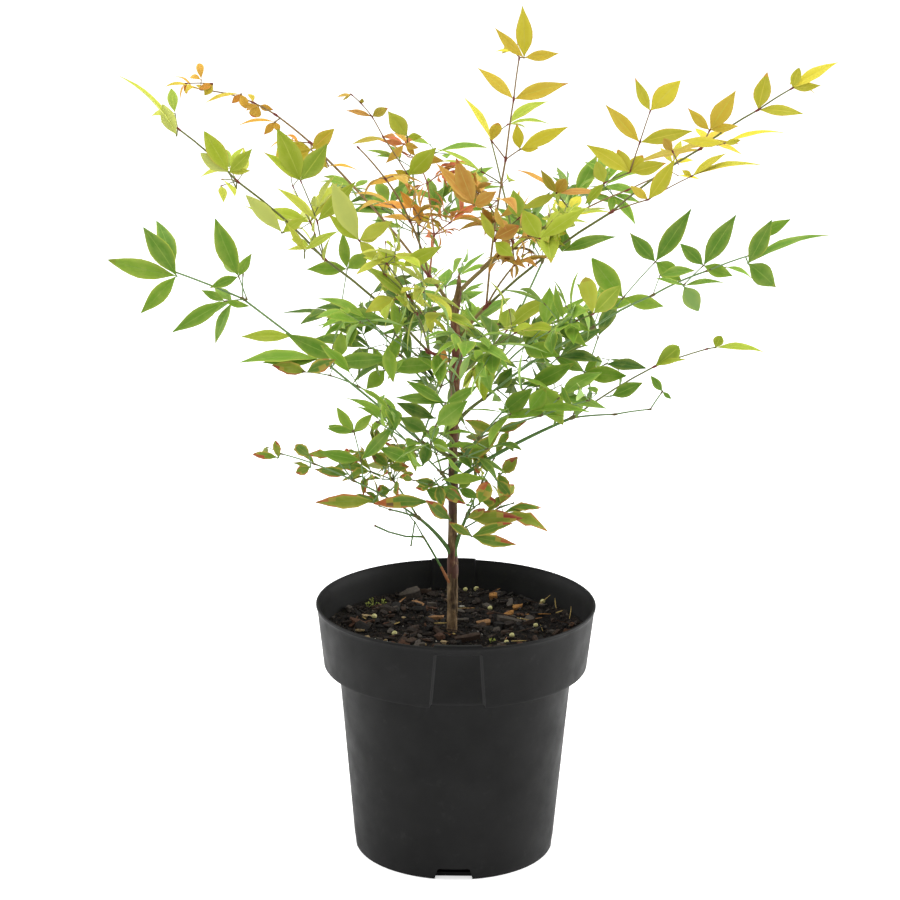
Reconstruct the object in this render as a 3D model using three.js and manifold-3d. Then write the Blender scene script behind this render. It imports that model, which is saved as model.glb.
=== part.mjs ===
// Heavenly bamboo (nandina) growing in a round nursery pot.
//
// One upright cane carries compound leaves. Each of these has a stalk that ends in a swollen knob,
// and three sprays that part at the knob. A spray runs on through further joints, with side twigs
// in pairs, leaflets in pairs and a last leaflet at its tip. All sizes are in millimetres, +Z is up,
// +X is to the right, -Y is the front, and the origin is the middle of the pot's flat underside.

import * as THREE from 'three';
import { mergeVertices } from 'three/addons/utils/BufferGeometryUtils.js';
import Module from 'manifold-3d';

const wasm = await Module();
wasm.setup();

// ---- Driving dimensions -----------------------------------------------------------------------

const POT = {
  height: 170, rimRadius: 92.5, baseRadius: 65, bodyTopRadius: 77.5,
  collarFoot: 127.5, collarFootRadius: 86.5, wall: 1.6, floor: 2.5, sides: 48,
};
const PANEL = { top: 165, topWidth: 30, footWidth: 34, recess: 1.3 };
const NOTCH = { height: 8, topWidth: 21, footWidth: 26, count: 4 };
const SOIL = { top: 150, roughness: 2.2, calmRadius: 14, sides: 24, rings: 5 };

const GAP = 0.3;            // clearance between neighbouring solids
const CANE = {
  sides: 8, steps: 14,
  // height, lean to the right, radius
  stations: [
    [SOIL.top + GAP, -2.4, 4.3], [166, -2.3, 3.5], [230, -2.6, 2.9], [290, -2.6, 2.6],
    [341, -0.9, 3.3], [364, -2.6, 2.4], [384, 0, 1.5],
  ],
};

const STALK = { sides: 5, steps: 4, footRadius: 1.5, endRadius: 0.95, knobRadius: 2 };
const TWIG = {
  radius: 0.85, thinning: 0.84, slimmest: 0.5, foot: 0.7, bow: 0.03, swelling: 1.4, neck: 2.5,
  stub: 1.2, longest: 40,
};
const LEAF = {
  shape: 0.36,              // width over length
  thickness: 0.02,          // thickness over length
  arch: 0.07, fold: 0.22, widest: 0.45,
  spread: 48, uprightness: 0.25,
};
const SIDE_TWIG = { spread: 50, thinner: 0.72 };
const ROOM = { stretch: 22, margin: 0.5, leafMargin: 0.7 };   // kept free between sprays

const TINTS = {
  yellow: 0xd6be3c, lime: 0x9fb636, green: 0x6c9a34, deep: 0x4f7f2e,
  bronze: 0xc79a55, orange: 0xdc9440, red: 0xcf6a44, aged: 0x86903a,
};

const USUAL = { swing: 0, shrink: 0.95, hang: 0.2 };   // what a spray has unless told otherwise

// Each compound leaf: its foot on the cane, then its knob as a heading (0 is right, 90 is back),
// a reach from the cane and a height. A spray starts at the knob with a heading and a rise in
// degrees. steps are the lengths between its joints, droop and swing turn it at each joint, fans
// counts the joints of the side twigs at each of its own joints, stride is the length between
// those, roll turns its plane, leaf is the length of its leaflets and last that of the one at its
// tip, shrink is how much shorter they get at each joint, and hang is how far they bend down.
const COMPOUND_LEAVES = {
  crown: {
    foot: 344, heading: 10, reach: 19, height: 369,
    sprays: {
      tall: {
        heading: 65, rise: 73, droop: 0, steps: [93, 39, 27], fans: [1, 0, 0], stride: 15,
        leaf: 32, roll: -5, hang: 0.1, seed: 11, tint: 'yellow',
      },
      right: {
        heading: 352, rise: 39, droop: 1.5, steps: [100, 69, 43, 25], fans: [3, 1, 0, 0], stride: 20,
        leaf: 38, roll: 14, seed: 12, tint: 'lime',
      },
      front: {
        heading: 300, rise: 44, swing: -38, droop: -3, steps: [46, 26, 30], fans: [0, 1, 1], stride: 12,
        leaf: 31, roll: 0, hang: 0.5, seed: 13, tint: 'bronze',
      },
    },
  },
  top: {
    foot: 378, heading: 30, reach: 42, height: 405,
    sprays: {
      right: {
        heading: 15, rise: 25, droop: 2, steps: [36, 45, 31], fans: [1, 1, 0], stride: 14,
        leaf: 31, roll: 20, seed: 21, tint: 'yellow',
      },
      back: {
        heading: 105, rise: 48, droop: 6, steps: [45, 38, 26], fans: [1, 1, 0], stride: 18,
        leaf: 33, roll: 0, seed: 22, tint: 'lime',
      },
      front: {
        heading: 318, rise: 32, droop: 6, steps: [26, 22], fans: [1, 0], stride: 12,
        leaf: 34, roll: 10, hang: 0.5, seed: 23, tint: 'lime',
      },
    },
  },
  arch: {
    foot: 364, heading: 165, reach: 17, height: 388,
    sprays: {
      left: {
        heading: 150, rise: 41, droop: 9, swing: 3, steps: [117, 31, 18, 19, 19], fans: [1, 0, 0, 0, 0],
        stride: 14, leaf: 24, shrink: 0.84, roll: -20, seed: 31, tint: 'orange',
      },
      back: {
        heading: 84, rise: 40, swing: 14, droop: 2, steps: [32, 45, 22, 14], fans: [1, 1, 1, 0],
        stride: 13, leaf: 23, roll: 0, seed: 32, tint: 'red',
      },
      front: {
        heading: 250, rise: 50, swing: -8, droop: 5, steps: [53, 44, 36, 26], fans: [1, 1, 1, 0],
        stride: 13, leaf: 24, shrink: 0.92, roll: -10, hang: 0.4, seed: 33, tint: 'bronze',
      },
    },
  },
  left: {
    foot: 331, heading: 190, reach: 18, height: 340,
    sprays: {
      high: {
        heading: 198, rise: 43, droop: 0, steps: [93, 76, 50], fans: [2, 1, 0], stride: 24,
        leaf: 35, last: 50, shrink: 0.86, roll: -30, seed: 41, tint: 'lime',
      },
      front: {
        heading: 258, rise: 43, swing: -11, droop: -2, steps: [46, 20, 33, 32], fans: [1, 1, 1, 0],
        stride: 18, leaf: 35, roll: -15, hang: 0.5, seed: 42, tint: 'lime',
      },
      back: {
        heading: 98, rise: 50, droop: 3, steps: [84, 52, 34], fans: [2, 1, 0], stride: 22,
        leaf: 36, roll: 0, seed: 43, tint: 'green',
      },
    },
  },
  middle: {
    foot: 308, heading: 262, reach: 14, height: 322,
    sprays: {
      left: {
        heading: 228, rise: 36, droop: 4, steps: [40, 32, 26], fans: [1, 1, 0], stride: 18,
        leaf: 34, roll: -20, hang: 0.6, seed: 101, tint: 'green',
      },
      front: {
        heading: 275, rise: 30, droop: 4, steps: [52, 36, 24], fans: [1, 1, 0], stride: 20,
        leaf: 36, roll: 0, hang: 0.7, seed: 102, tint: 'green',
      },
      right: {
        heading: 318, rise: 40, droop: 4, steps: [36, 30], fans: [1, 0], stride: 18,
        leaf: 34, roll: 20, hang: 0.5, seed: 103, tint: 'lime',
      },
    },
  },
  right: {
    foot: 290, heading: 345, reach: 20, height: 310,
    sprays: {
      far: {
        heading: 330, rise: 36, droop: 4, swing: 3, steps: [94, 47, 40, 29], fans: [2, 0, 0, 0],
        stride: 24, leaf: 42, last: 54, roll: 25, seed: 51, tint: 'green',
      },
      front: {
        heading: 290, rise: 40, swing: 9, droop: 5, steps: [46, 30, 28, 22], fans: [1, 1, 0, 0],
        stride: 18, leaf: 37, roll: 20, hang: 0.5, seed: 52, tint: 'green',
      },
      back: {
        heading: 58, rise: 47, swing: -4, droop: 2, steps: [104, 52], fans: [1, 1], stride: 20,
        leaf: 36, roll: 15, seed: 53, tint: 'green',
      },
    },
  },
  low_back: {
    foot: 280, heading: 95, reach: 16, height: 292,
    sprays: {
      left: {
        heading: 135, rise: 34, droop: 4, steps: [56, 40, 28], fans: [1, 1, 0], stride: 20,
        leaf: 35, roll: -15, seed: 111, tint: 'deep',
      },
      back: {
        heading: 92, rise: 26, droop: 6, steps: [74, 46, 30], fans: [1, 0, 0], stride: 22,
        leaf: 36, roll: 0, seed: 112, tint: 'green',
      },
      right: {
        heading: 45, rise: 34, droop: 4, steps: [48, 34], fans: [1, 0], stride: 20,
        leaf: 35, roll: 15, seed: 113, tint: 'deep',
      },
    },
  },
  near_right: {
    foot: 256, heading: 318, reach: 22, height: 286,
    sprays: {
      far: {
        heading: 345, rise: 24, droop: 2, steps: [42, 34], fans: [1, 0], stride: 20,
        leaf: 37, roll: 20, hang: 0.35, seed: 121, tint: 'green',
      },
      front: {
        heading: 292, rise: 32, droop: 6, steps: [30, 26], fans: [1, 0], stride: 18,
        leaf: 36, roll: 10, hang: 0.5, seed: 122, tint: 'green',
      },
      back: {
        heading: 30, rise: 40, droop: 4, steps: [40, 34], fans: [1, 0], stride: 18,
        leaf: 34, roll: 15, hang: 0.4, seed: 123, tint: 'deep',
      },
    },
  },
  near_left: {
    foot: 244, heading: 240, reach: 15, height: 262,
    sprays: {
      left: {
        heading: 205, rise: 44, droop: 8, steps: [32, 26, 22], fans: [1, 1, 0], stride: 17,
        leaf: 34, roll: -15, hang: 0.4, seed: 131, tint: 'green',
      },
      front: {
        heading: 262, rise: 38, droop: 8, steps: [30, 26], fans: [1, 0], stride: 17,
        leaf: 33, roll: 0, hang: 0.7, seed: 132, tint: 'green',
      },
      right: {
        heading: 312, rise: 34, droop: 8, steps: [26, 22], fans: [0, 0], stride: 16,
        leaf: 32, roll: 10, hang: 0.6, seed: 133, tint: 'deep',
      },
    },
  },
  low_left: {
    foot: 267, heading: 178, reach: 21, height: 279,
    sprays: {
      far: {
        heading: 163, rise: 35, droop: 18, steps: [148, 51], fans: [1, 0], stride: 17,
        leaf: 40, last: 44, roll: -50, seed: 61, tint: 'green',
      },
      front: {
        heading: 222, rise: 45, droop: 10, steps: [38, 30, 26, 22], fans: [1, 1, 1, 0], stride: 18,
        leaf: 34, roll: -12, hang: 0.4, seed: 62, tint: 'green',
      },
      back: {
        heading: 70, rise: 38, droop: 6, steps: [44, 32], fans: [1, 0], stride: 18,
        leaf: 33, roll: 0, seed: 63, tint: 'deep',
      },
    },
  },
  low_right: {
    foot: 252, heading: 15, reach: 81, height: 291,
    sprays: {
      far: {
        heading: 16, rise: 29, droop: 14, steps: [62, 38], fans: [0, 0], stride: 14,
        leaf: 26, last: 34, roll: 20, seed: 71, tint: 'lime',
      },
      back: {
        heading: 66, rise: 48, droop: 4, steps: [30, 30], fans: [1, 0], stride: 16,
        leaf: 33, roll: 20, seed: 72, tint: 'deep',
      },
      front: {
        heading: 338, rise: 10, droop: -4, steps: [27, 25], fans: [0, 0], stride: 12,
        leaf: 24, roll: 20, seed: 73, tint: 'green',
      },
    },
  },
  foot_left: {
    foot: 202, heading: 205, reach: 25, height: 231,
    sprays: {
      far: {
        heading: 198, rise: 33, droop: 6, steps: [50, 29, 24], fans: [2, 0, 0], stride: 19,
        leaf: 21, shrink: 0.8, roll: -20, seed: 81, tint: 'aged',
      },
      front: {
        heading: 215, rise: 22, droop: 8, steps: [22, 20], fans: [0, 0], stride: 14,
        leaf: 34, roll: -15, hang: 0, seed: 82, tint: 'aged',
      },
      back: {
        heading: 140, rise: 44, droop: 4, steps: [28, 22], fans: [1, 0], stride: 14,
        leaf: 22, roll: -20, seed: 83, tint: 'aged',
      },
    },
  },
  foot_right: {
    foot: 200, heading: 330, reach: 11, height: 232,
    sprays: {
      far: {
        heading: 345, rise: 8, droop: 4, steps: [10, 12], fans: [0, 0], stride: 12,
        leaf: 30, roll: 20, seed: 91, tint: 'aged',
      },
      back: {
        heading: 50, rise: 52, droop: 4, steps: [22, 18], fans: [1, 0], stride: 12,
        leaf: 22, roll: 20, seed: 92, tint: 'aged',
      },
      front: {
        heading: 285, rise: 30, droop: 4, steps: [16, 14], fans: [0, 0], stride: 12,
        leaf: 26, roll: 0, hang: 0.3, seed: 93, tint: 'deep',
      },
    },
  },
};

// Stalks whose leaflets have dropped: foot on the cane, heading, rise, lengths between joints.
const BARE_STALKS = {
  bare_front_left: { foot: 184, heading: 205, rise: 62, droop: 28, steps: [29, 17, 16], radius: 0.75 },
  bare_left: { foot: 256, heading: 200, rise: 25, droop: 0, steps: [12], radius: 0.7 },
  bare_right: { foot: 216, heading: 8, rise: 30, droop: 14, steps: [36, 10], radius: 0.7 },
};

const BARE_SIDES = 4;

// ---- Small helpers ----------------------------------------------------------------------------

const UP = new THREE.Vector3(0, 0, 1);
const BACK = new THREE.Vector3(0, 1, 0);

// Numbers from 0 to 1 that are the same in every run for the same seed.
function makeDice(seed) {
  let state = seed * 7919;
  return () => {
    state = (state * 16807) % 2147483647;
    return state / 2147483647;
  };
}

function aim(heading, rise) {
  const h = THREE.MathUtils.degToRad(heading);
  const r = THREE.MathUtils.degToRad(rise);
  return new THREE.Vector3(Math.cos(h) * Math.cos(r), Math.sin(h) * Math.cos(r), Math.sin(r));
}

// A point some way from a place, along a direction.
function along(place, direction, distance) {
  return place.clone().addScaledVector(direction, distance);
}

// The left side and the upper face of a growing twig, turned about it by roll.
function twigFrame(direction, roll) {
  const left = new THREE.Vector3().crossVectors(UP, direction).normalize();
  const upper = new THREE.Vector3().crossVectors(direction, left);
  const turn = THREE.MathUtils.degToRad(roll);
  left.applyAxisAngle(direction, turn);
  upper.applyAxisAngle(direction, turn);
  return { left, upper };
}

// A direction that leaves a twig sideways by an angle, towards one side, and lifts off its plane.
function sideways(direction, frame, side, angle, lift) {
  const a = THREE.MathUtils.degToRad(angle);
  const l = THREE.MathUtils.degToRad(lift);
  return direction.clone().multiplyScalar(Math.cos(a))
    .addScaledVector(frame.left, side * Math.sin(a))
    .addScaledVector(frame.upper, Math.sin(l))
    .normalize();
}

// ---- Solids -----------------------------------------------------------------------------------

function toSolid(geometry) {
  const bare = geometry.clone();
  bare.deleteAttribute('normal');
  bare.deleteAttribute('uv');
  const merged = mergeVertices(bare, 1e-5);
  return new wasm.Manifold(new wasm.Mesh({
    numProp: 3,
    vertProperties: new Float32Array(merged.attributes.position.array),
    triVerts: new Uint32Array(merged.index.array),
  }));
}

function toGeometry(solid) {
  const mesh = solid.getMesh();
  const geometry = new THREE.BufferGeometry();
  geometry.setAttribute('position', new THREE.BufferAttribute(mesh.vertProperties, 3));
  geometry.setIndex(new THREE.BufferAttribute(mesh.triVerts, 1));
  geometry.computeVertexNormals();
  return geometry;
}

// A limb with a round section, from rings that each have a point and a radius: a cylinder whose
// rings are moved onto them. aside is any direction that the limb doesn't run along, which keeps
// the rings from twisting.
function limb(rings, sides, aside = UP) {
  const steps = rings.length - 1;
  const geometry = new THREE.CylinderGeometry(1, 1, 1, sides, steps);
  const position = geometry.attributes.position;
  const frames = rings.map((_, i) => {
    const ahead = rings[Math.min(i + 1, steps)].point;
    const direction = ahead.clone().sub(rings[Math.max(i - 1, 0)].point).normalize();
    const left = new THREE.Vector3().crossVectors(aside, direction).normalize();
    return { left, upper: new THREE.Vector3().crossVectors(direction, left) };
  });
  for (let i = 0; i < position.count; i += 1) {
    const k = Math.round((position.getY(i) + 0.5) * steps);
    const place = along(rings[k].point, frames[k].left, -position.getX(i) * rings[k].radius)
      .addScaledVector(frames[k].upper, position.getZ(i) * rings[k].radius);
    position.setXYZ(i, place.x, place.y, place.z);
  }
  return geometry;
}

function evenly(count) {
  return Array.from({ length: count + 1 }, (_, i) => i / count);
}

// ---- Pot and soil -----------------------------------------------------------------------------

function revolve(profile, sides) {
  const points = profile.map(([radius, height]) => new THREE.Vector2(radius, height));
  return new THREE.LatheGeometry(points, sides).rotateX(Math.PI / 2);
}

// The pot's outer shape as a full body, shrunk inwards by an inset.
function potBody(inset) {
  return toSolid(revolve([
    [0, inset], [POT.baseRadius - 2 - inset, inset], [POT.baseRadius - inset, 2 + inset],
    [POT.bodyTopRadius - inset, POT.collarFoot + inset],
    [POT.collarFootRadius - inset, POT.collarFoot + inset],
    [POT.rimRadius - inset, POT.height], [0, POT.height],
  ], POT.sides));
}

// A straight-sided block with a trapezium face, reaching from inside the pot out through its front.
function wedge(footWidth, topWidth, foot, top, from, to) {
  const face = new THREE.Shape([
    new THREE.Vector2(-footWidth / 2, foot), new THREE.Vector2(footWidth / 2, foot),
    new THREE.Vector2(topWidth / 2, top), new THREE.Vector2(-topWidth / 2, top),
  ]);
  const block = new THREE.ExtrudeGeometry(face, { depth: to - from, bevelEnabled: false });
  return block.rotateX(Math.PI / 2).translate(0, -from, 0);
}

function makePot() {
  const cavity = potBody(POT.wall).subtract(toSolid(
    new THREE.BoxGeometry(400, 400, 2 * POT.floor)));
  let pot = potBody(0).subtract(cavity);
  const past = POT.rimRadius + 10;
  for (const turn of [0, Math.PI]) {
    const sunk = toSolid(wedge(PANEL.footWidth, PANEL.topWidth, POT.collarFoot - 1, PANEL.top, 60, past)
      .rotateZ(turn));
    const proud = toSolid(wedge(PANEL.footWidth + 2, PANEL.topWidth + 2, POT.collarFoot + 1,
      POT.height - 1, 60, past).rotateZ(turn));
    const lining = potBody(POT.wall - 0.2).subtract(potBody(POT.wall + PANEL.recess));
    pot = pot.add(proud.intersect(lining)).subtract(sunk.subtract(potBody(PANEL.recess)));
  }
  for (let i = 0; i < NOTCH.count; i += 1) {
    const cut = wedge(NOTCH.footWidth, NOTCH.topWidth, -1, NOTCH.height, POT.baseRadius - 6, past)
      .rotateZ(i * 2 * Math.PI / NOTCH.count);
    pot = pot.subtract(toSolid(cut));
  }
  return toGeometry(pot);
}

function soilHeight(radius, angle) {
  const calm = Math.min(Math.max((radius - SOIL.calmRadius) / 15, 0), 1);
  return SOIL.top + SOIL.roughness * calm
    * (Math.sin(radius / 6 + 2 * angle) * 0.4 + Math.sin(3 * angle - radius / 9) * 0.6);
}

function makeSoil() {
  const edge = (height) => POT.collarFootRadius - POT.wall - GAP
    + (POT.rimRadius - POT.collarFootRadius) * (height - POT.collarFoot) / (POT.height - POT.collarFoot);
  const lining = POT.wall + PANEL.recess;
  const topRadius = edge(SOIL.top) - PANEL.recess - GAP;
  const profile = [
    [0, POT.floor + GAP], [POT.baseRadius - POT.wall - 8, POT.floor + GAP],
    [POT.baseRadius - POT.wall - 2 * GAP, NOTCH.height + 3],
    [POT.bodyTopRadius - lining - 2 * GAP, POT.collarFoot + lining],
    [topRadius - 5, POT.collarFoot + lining + 4],
  ];
  for (let i = 0; i < SOIL.rings; i += 1) {
    profile.push([topRadius * (1 - i / SOIL.rings), SOIL.top]);
  }
  profile.push([0, SOIL.top]);
  const soil = revolve(profile, SOIL.sides);
  const position = soil.attributes.position;
  for (let i = 0; i < position.count; i += 1) {
    if (position.getZ(i) > SOIL.top - 0.01) {
      const radius = Math.hypot(position.getX(i), position.getY(i));
      position.setZ(i, soilHeight(radius, Math.atan2(position.getY(i), position.getX(i))));
    }
  }
  return toGeometry(toSolid(soil));
}

// ---- Cane and stalks --------------------------------------------------------------------------

const CANE_FOOT = CANE.stations[0][0];
const CANE_TIP = CANE.stations[CANE.stations.length - 1][0];

// One column of the cane's stations at a height, read between them.
function caneValue(height, column) {
  const rows = CANE.stations;
  const last = rows.findIndex((row, i) => i > 0 && (height <= row[0] || i === rows.length - 1));
  const [low, high] = [rows[last - 1], rows[last]];
  const share = (height - low[0]) / (high[0] - low[0]);
  return low[column] + (high[column] - low[column]) * share;
}

function caneAt(height) {
  return new THREE.Vector3(caneValue(height, 1), 0, height);
}

function caneBody(extra) {
  const rings = evenly(CANE.steps).map((t) => {
    const height = CANE_FOOT + (CANE_TIP - CANE_FOOT) * t;
    return { point: caneAt(height), radius: caneValue(height, 2) + extra };
  });
  return limb(rings, CANE.sides, BACK);
}

// The middle line of a stalk: it leaves the cane steeply and bends over to its knob.
function stalkCurve(leaf) {
  const foot = caneAt(leaf.foot);
  const knob = along(caneAt(leaf.foot), aim(leaf.heading, 0), leaf.reach);
  knob.z = leaf.height;
  const bend = foot.clone().lerp(knob, 0.4);
  bend.z += (leaf.height - leaf.foot) * 0.16;
  return new THREE.QuadraticBezierCurve3(foot, bend, knob);
}

function makeStalk(leaf, caneRoom) {
  const curve = stalkCurve(leaf);
  const rings = evenly(STALK.steps).map((t) => (
    { point: curve.getPoint(t), radius: STALK.footRadius + (STALK.endRadius - STALK.footRadius) * t }));
  const end = curve.getPoint(1);
  const knob = new THREE.IcosahedronGeometry(STALK.knobRadius, 0).translate(end.x, end.y, end.z);
  return toSolid(limb(rings, STALK.sides)).add(toSolid(knob)).subtract(caneRoom);
}

// The rings of a bare stalk, slim in front of each joint and swollen at it.
function bareRings(stalk) {
  let point = caneAt(stalk.foot);
  let radius = stalk.radius;
  const rings = [{ point, radius }];
  stalk.steps.forEach((length, k) => {
    const direction = aim(stalk.heading, stalk.rise - stalk.droop * k);
    rings.push({ point: along(point, direction, length - TWIG.neck), radius: radius * 0.85 });
    point = along(point, direction, length);
    rings.push({ point, radius: radius * TWIG.swelling });
    radius *= TWIG.thinning;
  });
  return rings;
}

// ---- Foliage: the growing rule ----------------------------------------------------------------

// The room that a piece needs is a body with six corners: its two ends, then its left, right, upper
// and lower middle corners.
const FACES = [0, 1].flatMap((end) => [2, 3].flatMap((side) => [4, 5].map((face) => [end, side, face])));
const WIRES = [[0, 2], [2, 1], [0, 3], [3, 1], [0, 4], [4, 1]];

// Whether the line from a to b passes through the triangle p, q, r.
function pierces(a, b, p, q, r) {
  const line = b.clone().sub(a);
  const [one, two, off] = [q.clone().sub(p), r.clone().sub(p), a.clone().sub(p)];
  const across = line.clone().cross(two);
  const scale = one.dot(across);
  if (Math.abs(scale) < 1e-9) return false;
  const u = off.dot(across) / scale;
  if (u < 0 || u > 1) return false;
  const turned = off.cross(one);
  const v = line.dot(turned) / scale;
  const t = two.dot(turned) / scale;
  return v >= 0 && u + v <= 1 && t >= 0 && t <= 1;
}

function near(one, other) {
  const reach = (one[0].distanceTo(one[1]) + other[0].distanceTo(other[1])) / 2 + 8;
  return one[4].distanceTo(other[4]) < reach;
}

function touches(one, other) {
  if (!near(one, other)) return false;
  const cut = (x, y) => WIRES.some(([a, b]) => FACES.some(
    ([p, q, r]) => pierces(x[a], x[b], y[p], y[q], y[r])));
  return cut(one, other) || cut(other, one);
}

// The room that a stretch of limb or twig needs, as overlapping six-cornered bodies.
function roomAround(from, to, radius, aside = UP) {
  const count = Math.max(1, Math.ceil(from.distanceTo(to) / ROOM.stretch));
  const direction = to.clone().sub(from).normalize();
  const left = new THREE.Vector3().crossVectors(aside, direction).normalize();
  const upper = new THREE.Vector3().crossVectors(direction, left);
  const bodies = [];
  for (let i = 0; i < 2 * count - 1; i += 1) {
    const start = from.clone().lerp(to, i / (2 * count));
    const end = from.clone().lerp(to, (i + 2) / (2 * count));
    const middle = start.clone().lerp(end, 0.5);
    const half = 2 * (radius + ROOM.margin);
    bodies.push([start, end, along(middle, left, half), along(middle, left, -half),
      along(middle, upper, half), along(middle, upper, -half)]);
  }
  return bodies;
}

// A twig through its joints, swollen at each where told, bowed a little between them. It ends just
// past its last joint, so that the leaflets there have their roots inside it.
function makeTwig(twig) {
  const { joints, radii, bow, swollen } = twig;
  const rings = [{ point: joints[0], radius: radii[0] * TWIG.foot }];
  for (let k = 1; k < joints.length; k += 1) {
    const from = joints[k - 1];
    const past = k === joints.length - 1 ? TWIG.stub / from.distanceTo(joints[k]) : 0;
    const to = joints[k].clone().lerp(from, -past);
    const length = from.distanceTo(to);
    if (length > TWIG.longest) rings.push({ point: bowed(from, to, bow), radius: radii[k - 1] * 0.9 });
    if (swollen) rings.push({ point: to.clone().lerp(from, TWIG.neck / length), radius: radii[k - 1] * 0.8 });
    rings.push({ point: to, radius: radii[k - 1] * (swollen ? TWIG.swelling : 0.9) });
  }
  return limb(rings, 3);
}

function bowed(from, to, bow) {
  return along(from.clone().lerp(to, 0.5), bow, TWIG.bow * from.distanceTo(to));
}

function twigRoom(twig) {
  const bodies = [];
  for (let k = 1; k < twig.joints.length; k += 1) {
    const middle = bowed(twig.joints[k - 1], twig.joints[k], twig.bow);
    bodies.push(...roomAround(twig.joints[k - 1], middle, twig.radii[k - 1]));
    bodies.push(...roomAround(middle, twig.joints[k], twig.radii[k - 1]));
  }
  return bodies;
}

// A leaflet grows from root along direction, and its upper face looks along facing. It rises to its
// widest place, arches over to its tip, and its two halves fold up a little from the middle rib.
function growLeaflet(root, direction, facing, length, hang, dice) {
  const width = length * LEAF.shape * (0.88 + 0.24 * dice());
  const arch = LEAF.arch * (0.4 + 1.2 * dice());
  const way = along(direction, UP, -hang * (0.3 + 0.7 * dice())).normalize();
  const upper = facing.clone().addScaledVector(way, -facing.dot(way)).normalize();
  const across = new THREE.Vector3().crossVectors(upper, way);
  return { root, direction: way, upper, across, length, width, arch };
}

// Where a place on the leaflet lies: t runs from root to tip, s from one edge to the other.
function leafletPoint(leaf, t, s, off) {
  const height = leaf.arch * leaf.length * 4.9 * t * (1 - 1.2 * t);
  const folded = LEAF.fold * Math.abs(s) * leaf.width / 2;
  return along(leaf.root, leaf.direction, t * leaf.length)
    .addScaledVector(leaf.upper, height + folded + off)
    .addScaledVector(leaf.across, s * leaf.width / 2);
}

// The leaflet's six corners, moved outwards by a margin.
function leafletCorners(leaf, margin) {
  const off = leaf.length * LEAF.thickness / 2 + margin;
  const s = 1 + 2 * margin / leaf.width;
  return [
    leafletPoint(leaf, 0, 0, 0), leafletPoint(leaf, 1 + margin / leaf.length, 0, 0),
    leafletPoint(leaf, LEAF.widest, s, 0), leafletPoint(leaf, LEAF.widest, -s, 0),
    leafletPoint(leaf, LEAF.widest, 0, off), leafletPoint(leaf, LEAF.widest, 0, -off),
  ];
}

// The leaflet as a thin solid: a flat upper face over a keel, from a sphere of three sides and two
// rows whose points are moved onto the leaflet's corners.
function leafletBody(leaf) {
  const [root, tip, left, right, , lower] = leafletCorners(leaf, 0);
  const geometry = new THREE.SphereGeometry(1, 3, 2);
  const position = geometry.attributes.position;
  const columns = [left, lower, right, left];
  for (let i = 0; i < position.count; i += 1) {
    const row = Math.floor(i / columns.length);
    const corner = row === 0 ? root : row === 2 ? tip : columns[i % columns.length];
    position.setXYZ(i, corner.x, corner.y, corner.z);
  }
  return geometry;
}

// Leaf blades turn their faces partly up to the light, each a little differently.
function bladeFacing(frame, dice) {
  return frame.upper.clone().addScaledVector(UP, LEAF.uprightness)
    .addScaledVector(frame.left, 0.7 * (dice() - 0.5)).normalize();
}

function growPair(at, direction, frame, length, hang, dice, out) {
  for (const side of [1, -1]) {
    const way = sideways(direction, frame, side, LEAF.spread + 16 * (dice() - 0.5), 24 * (dice() - 0.4));
    const size = length * (0.82 + 0.26 * dice());
    out.leaflets.push(growLeaflet(at, way, bladeFacing(frame, dice), size, hang, dice));
  }
}

function growTip(at, direction, frame, length, hang, dice, out) {
  const way = sideways(direction, frame, 1, 14 * (dice() - 0.5), 16 * (dice() - 0.5));
  const size = length * (1.02 + 0.2 * dice());
  const root = along(at, direction, TWIG.stub * 0.6);
  out.leaflets.push(growLeaflet(root, way, bladeFacing(frame, dice), size, hang, dice));
}

// A side twig with some joints, each with a pair of leaflets, and a last leaflet.
function growSideTwig(root, direction, count, spray, radius, length, dice) {
  const out = { joints: [root], radii: [], swollen: false, leaflets: [] };
  out.bow = twigFrame(direction, spray.roll).upper;
  let from = root;
  let way = direction;
  let thickness = Math.max(radius, TWIG.slimmest);
  for (let j = 0; j < count; j += 1) {
    const frame = twigFrame(way, spray.roll);
    from = along(from, way, spray.stride * (0.85 + 0.3 * dice()));
    out.joints.push(from);
    out.radii.push(thickness);
    growPair(from, way, frame, length, spray.hang, dice, out);
    if (j < count - 1) way = sideways(way, frame, 1, 20 * (dice() - 0.5), 12 * (dice() - 0.5));
    thickness = Math.max(thickness * TWIG.thinning, TWIG.slimmest);
  }
  growTip(from, way, twigFrame(way, spray.roll), length, spray.hang, dice, out);
  return out;
}

// A whole spray: the rachis through its joints, with side twigs or leaflets in pairs.
function growSpray(told, knob) {
  const spray = { ...USUAL, ...told };
  const dice = makeDice(spray.seed);
  let way = aim(spray.heading, spray.rise);
  let at = along(knob, way, STALK.knobRadius + GAP);
  let radius = TWIG.radius;
  let length = spray.leaf;
  const out = { joints: [at], radii: [], swollen: true, leaflets: [], sides: [] };
  out.bow = twigFrame(way, spray.roll).upper;
  spray.steps.forEach((step, k) => {
    way = aim(spray.heading + spray.swing * k, spray.rise - spray.droop * k);
    const frame = twigFrame(way, spray.roll);
    at = along(at, way, step);
    out.joints.push(at);
    out.radii.push(radius);
    if (spray.fans[k] > 0) {
      for (const side of [1, -1]) {
        const turn = SIDE_TWIG.spread + 14 * (dice() - 0.5);
        const branch = sideways(way, frame, side, turn, 20 * (dice() - 0.4));
        out.sides.push(growSideTwig(at, branch, spray.fans[k], spray, radius * SIDE_TWIG.thinner,
          length, dice));
      }
    } else {
      growPair(at, way, frame, length, spray.hang, dice, out);
    }
    radius = Math.max(radius * TWIG.thinning, TWIG.slimmest);
    length *= spray.shrink;
  });
  growTip(at, way, twigFrame(way, spray.roll), spray.last ?? length, spray.hang, dice, out);
  return out;
}

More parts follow.
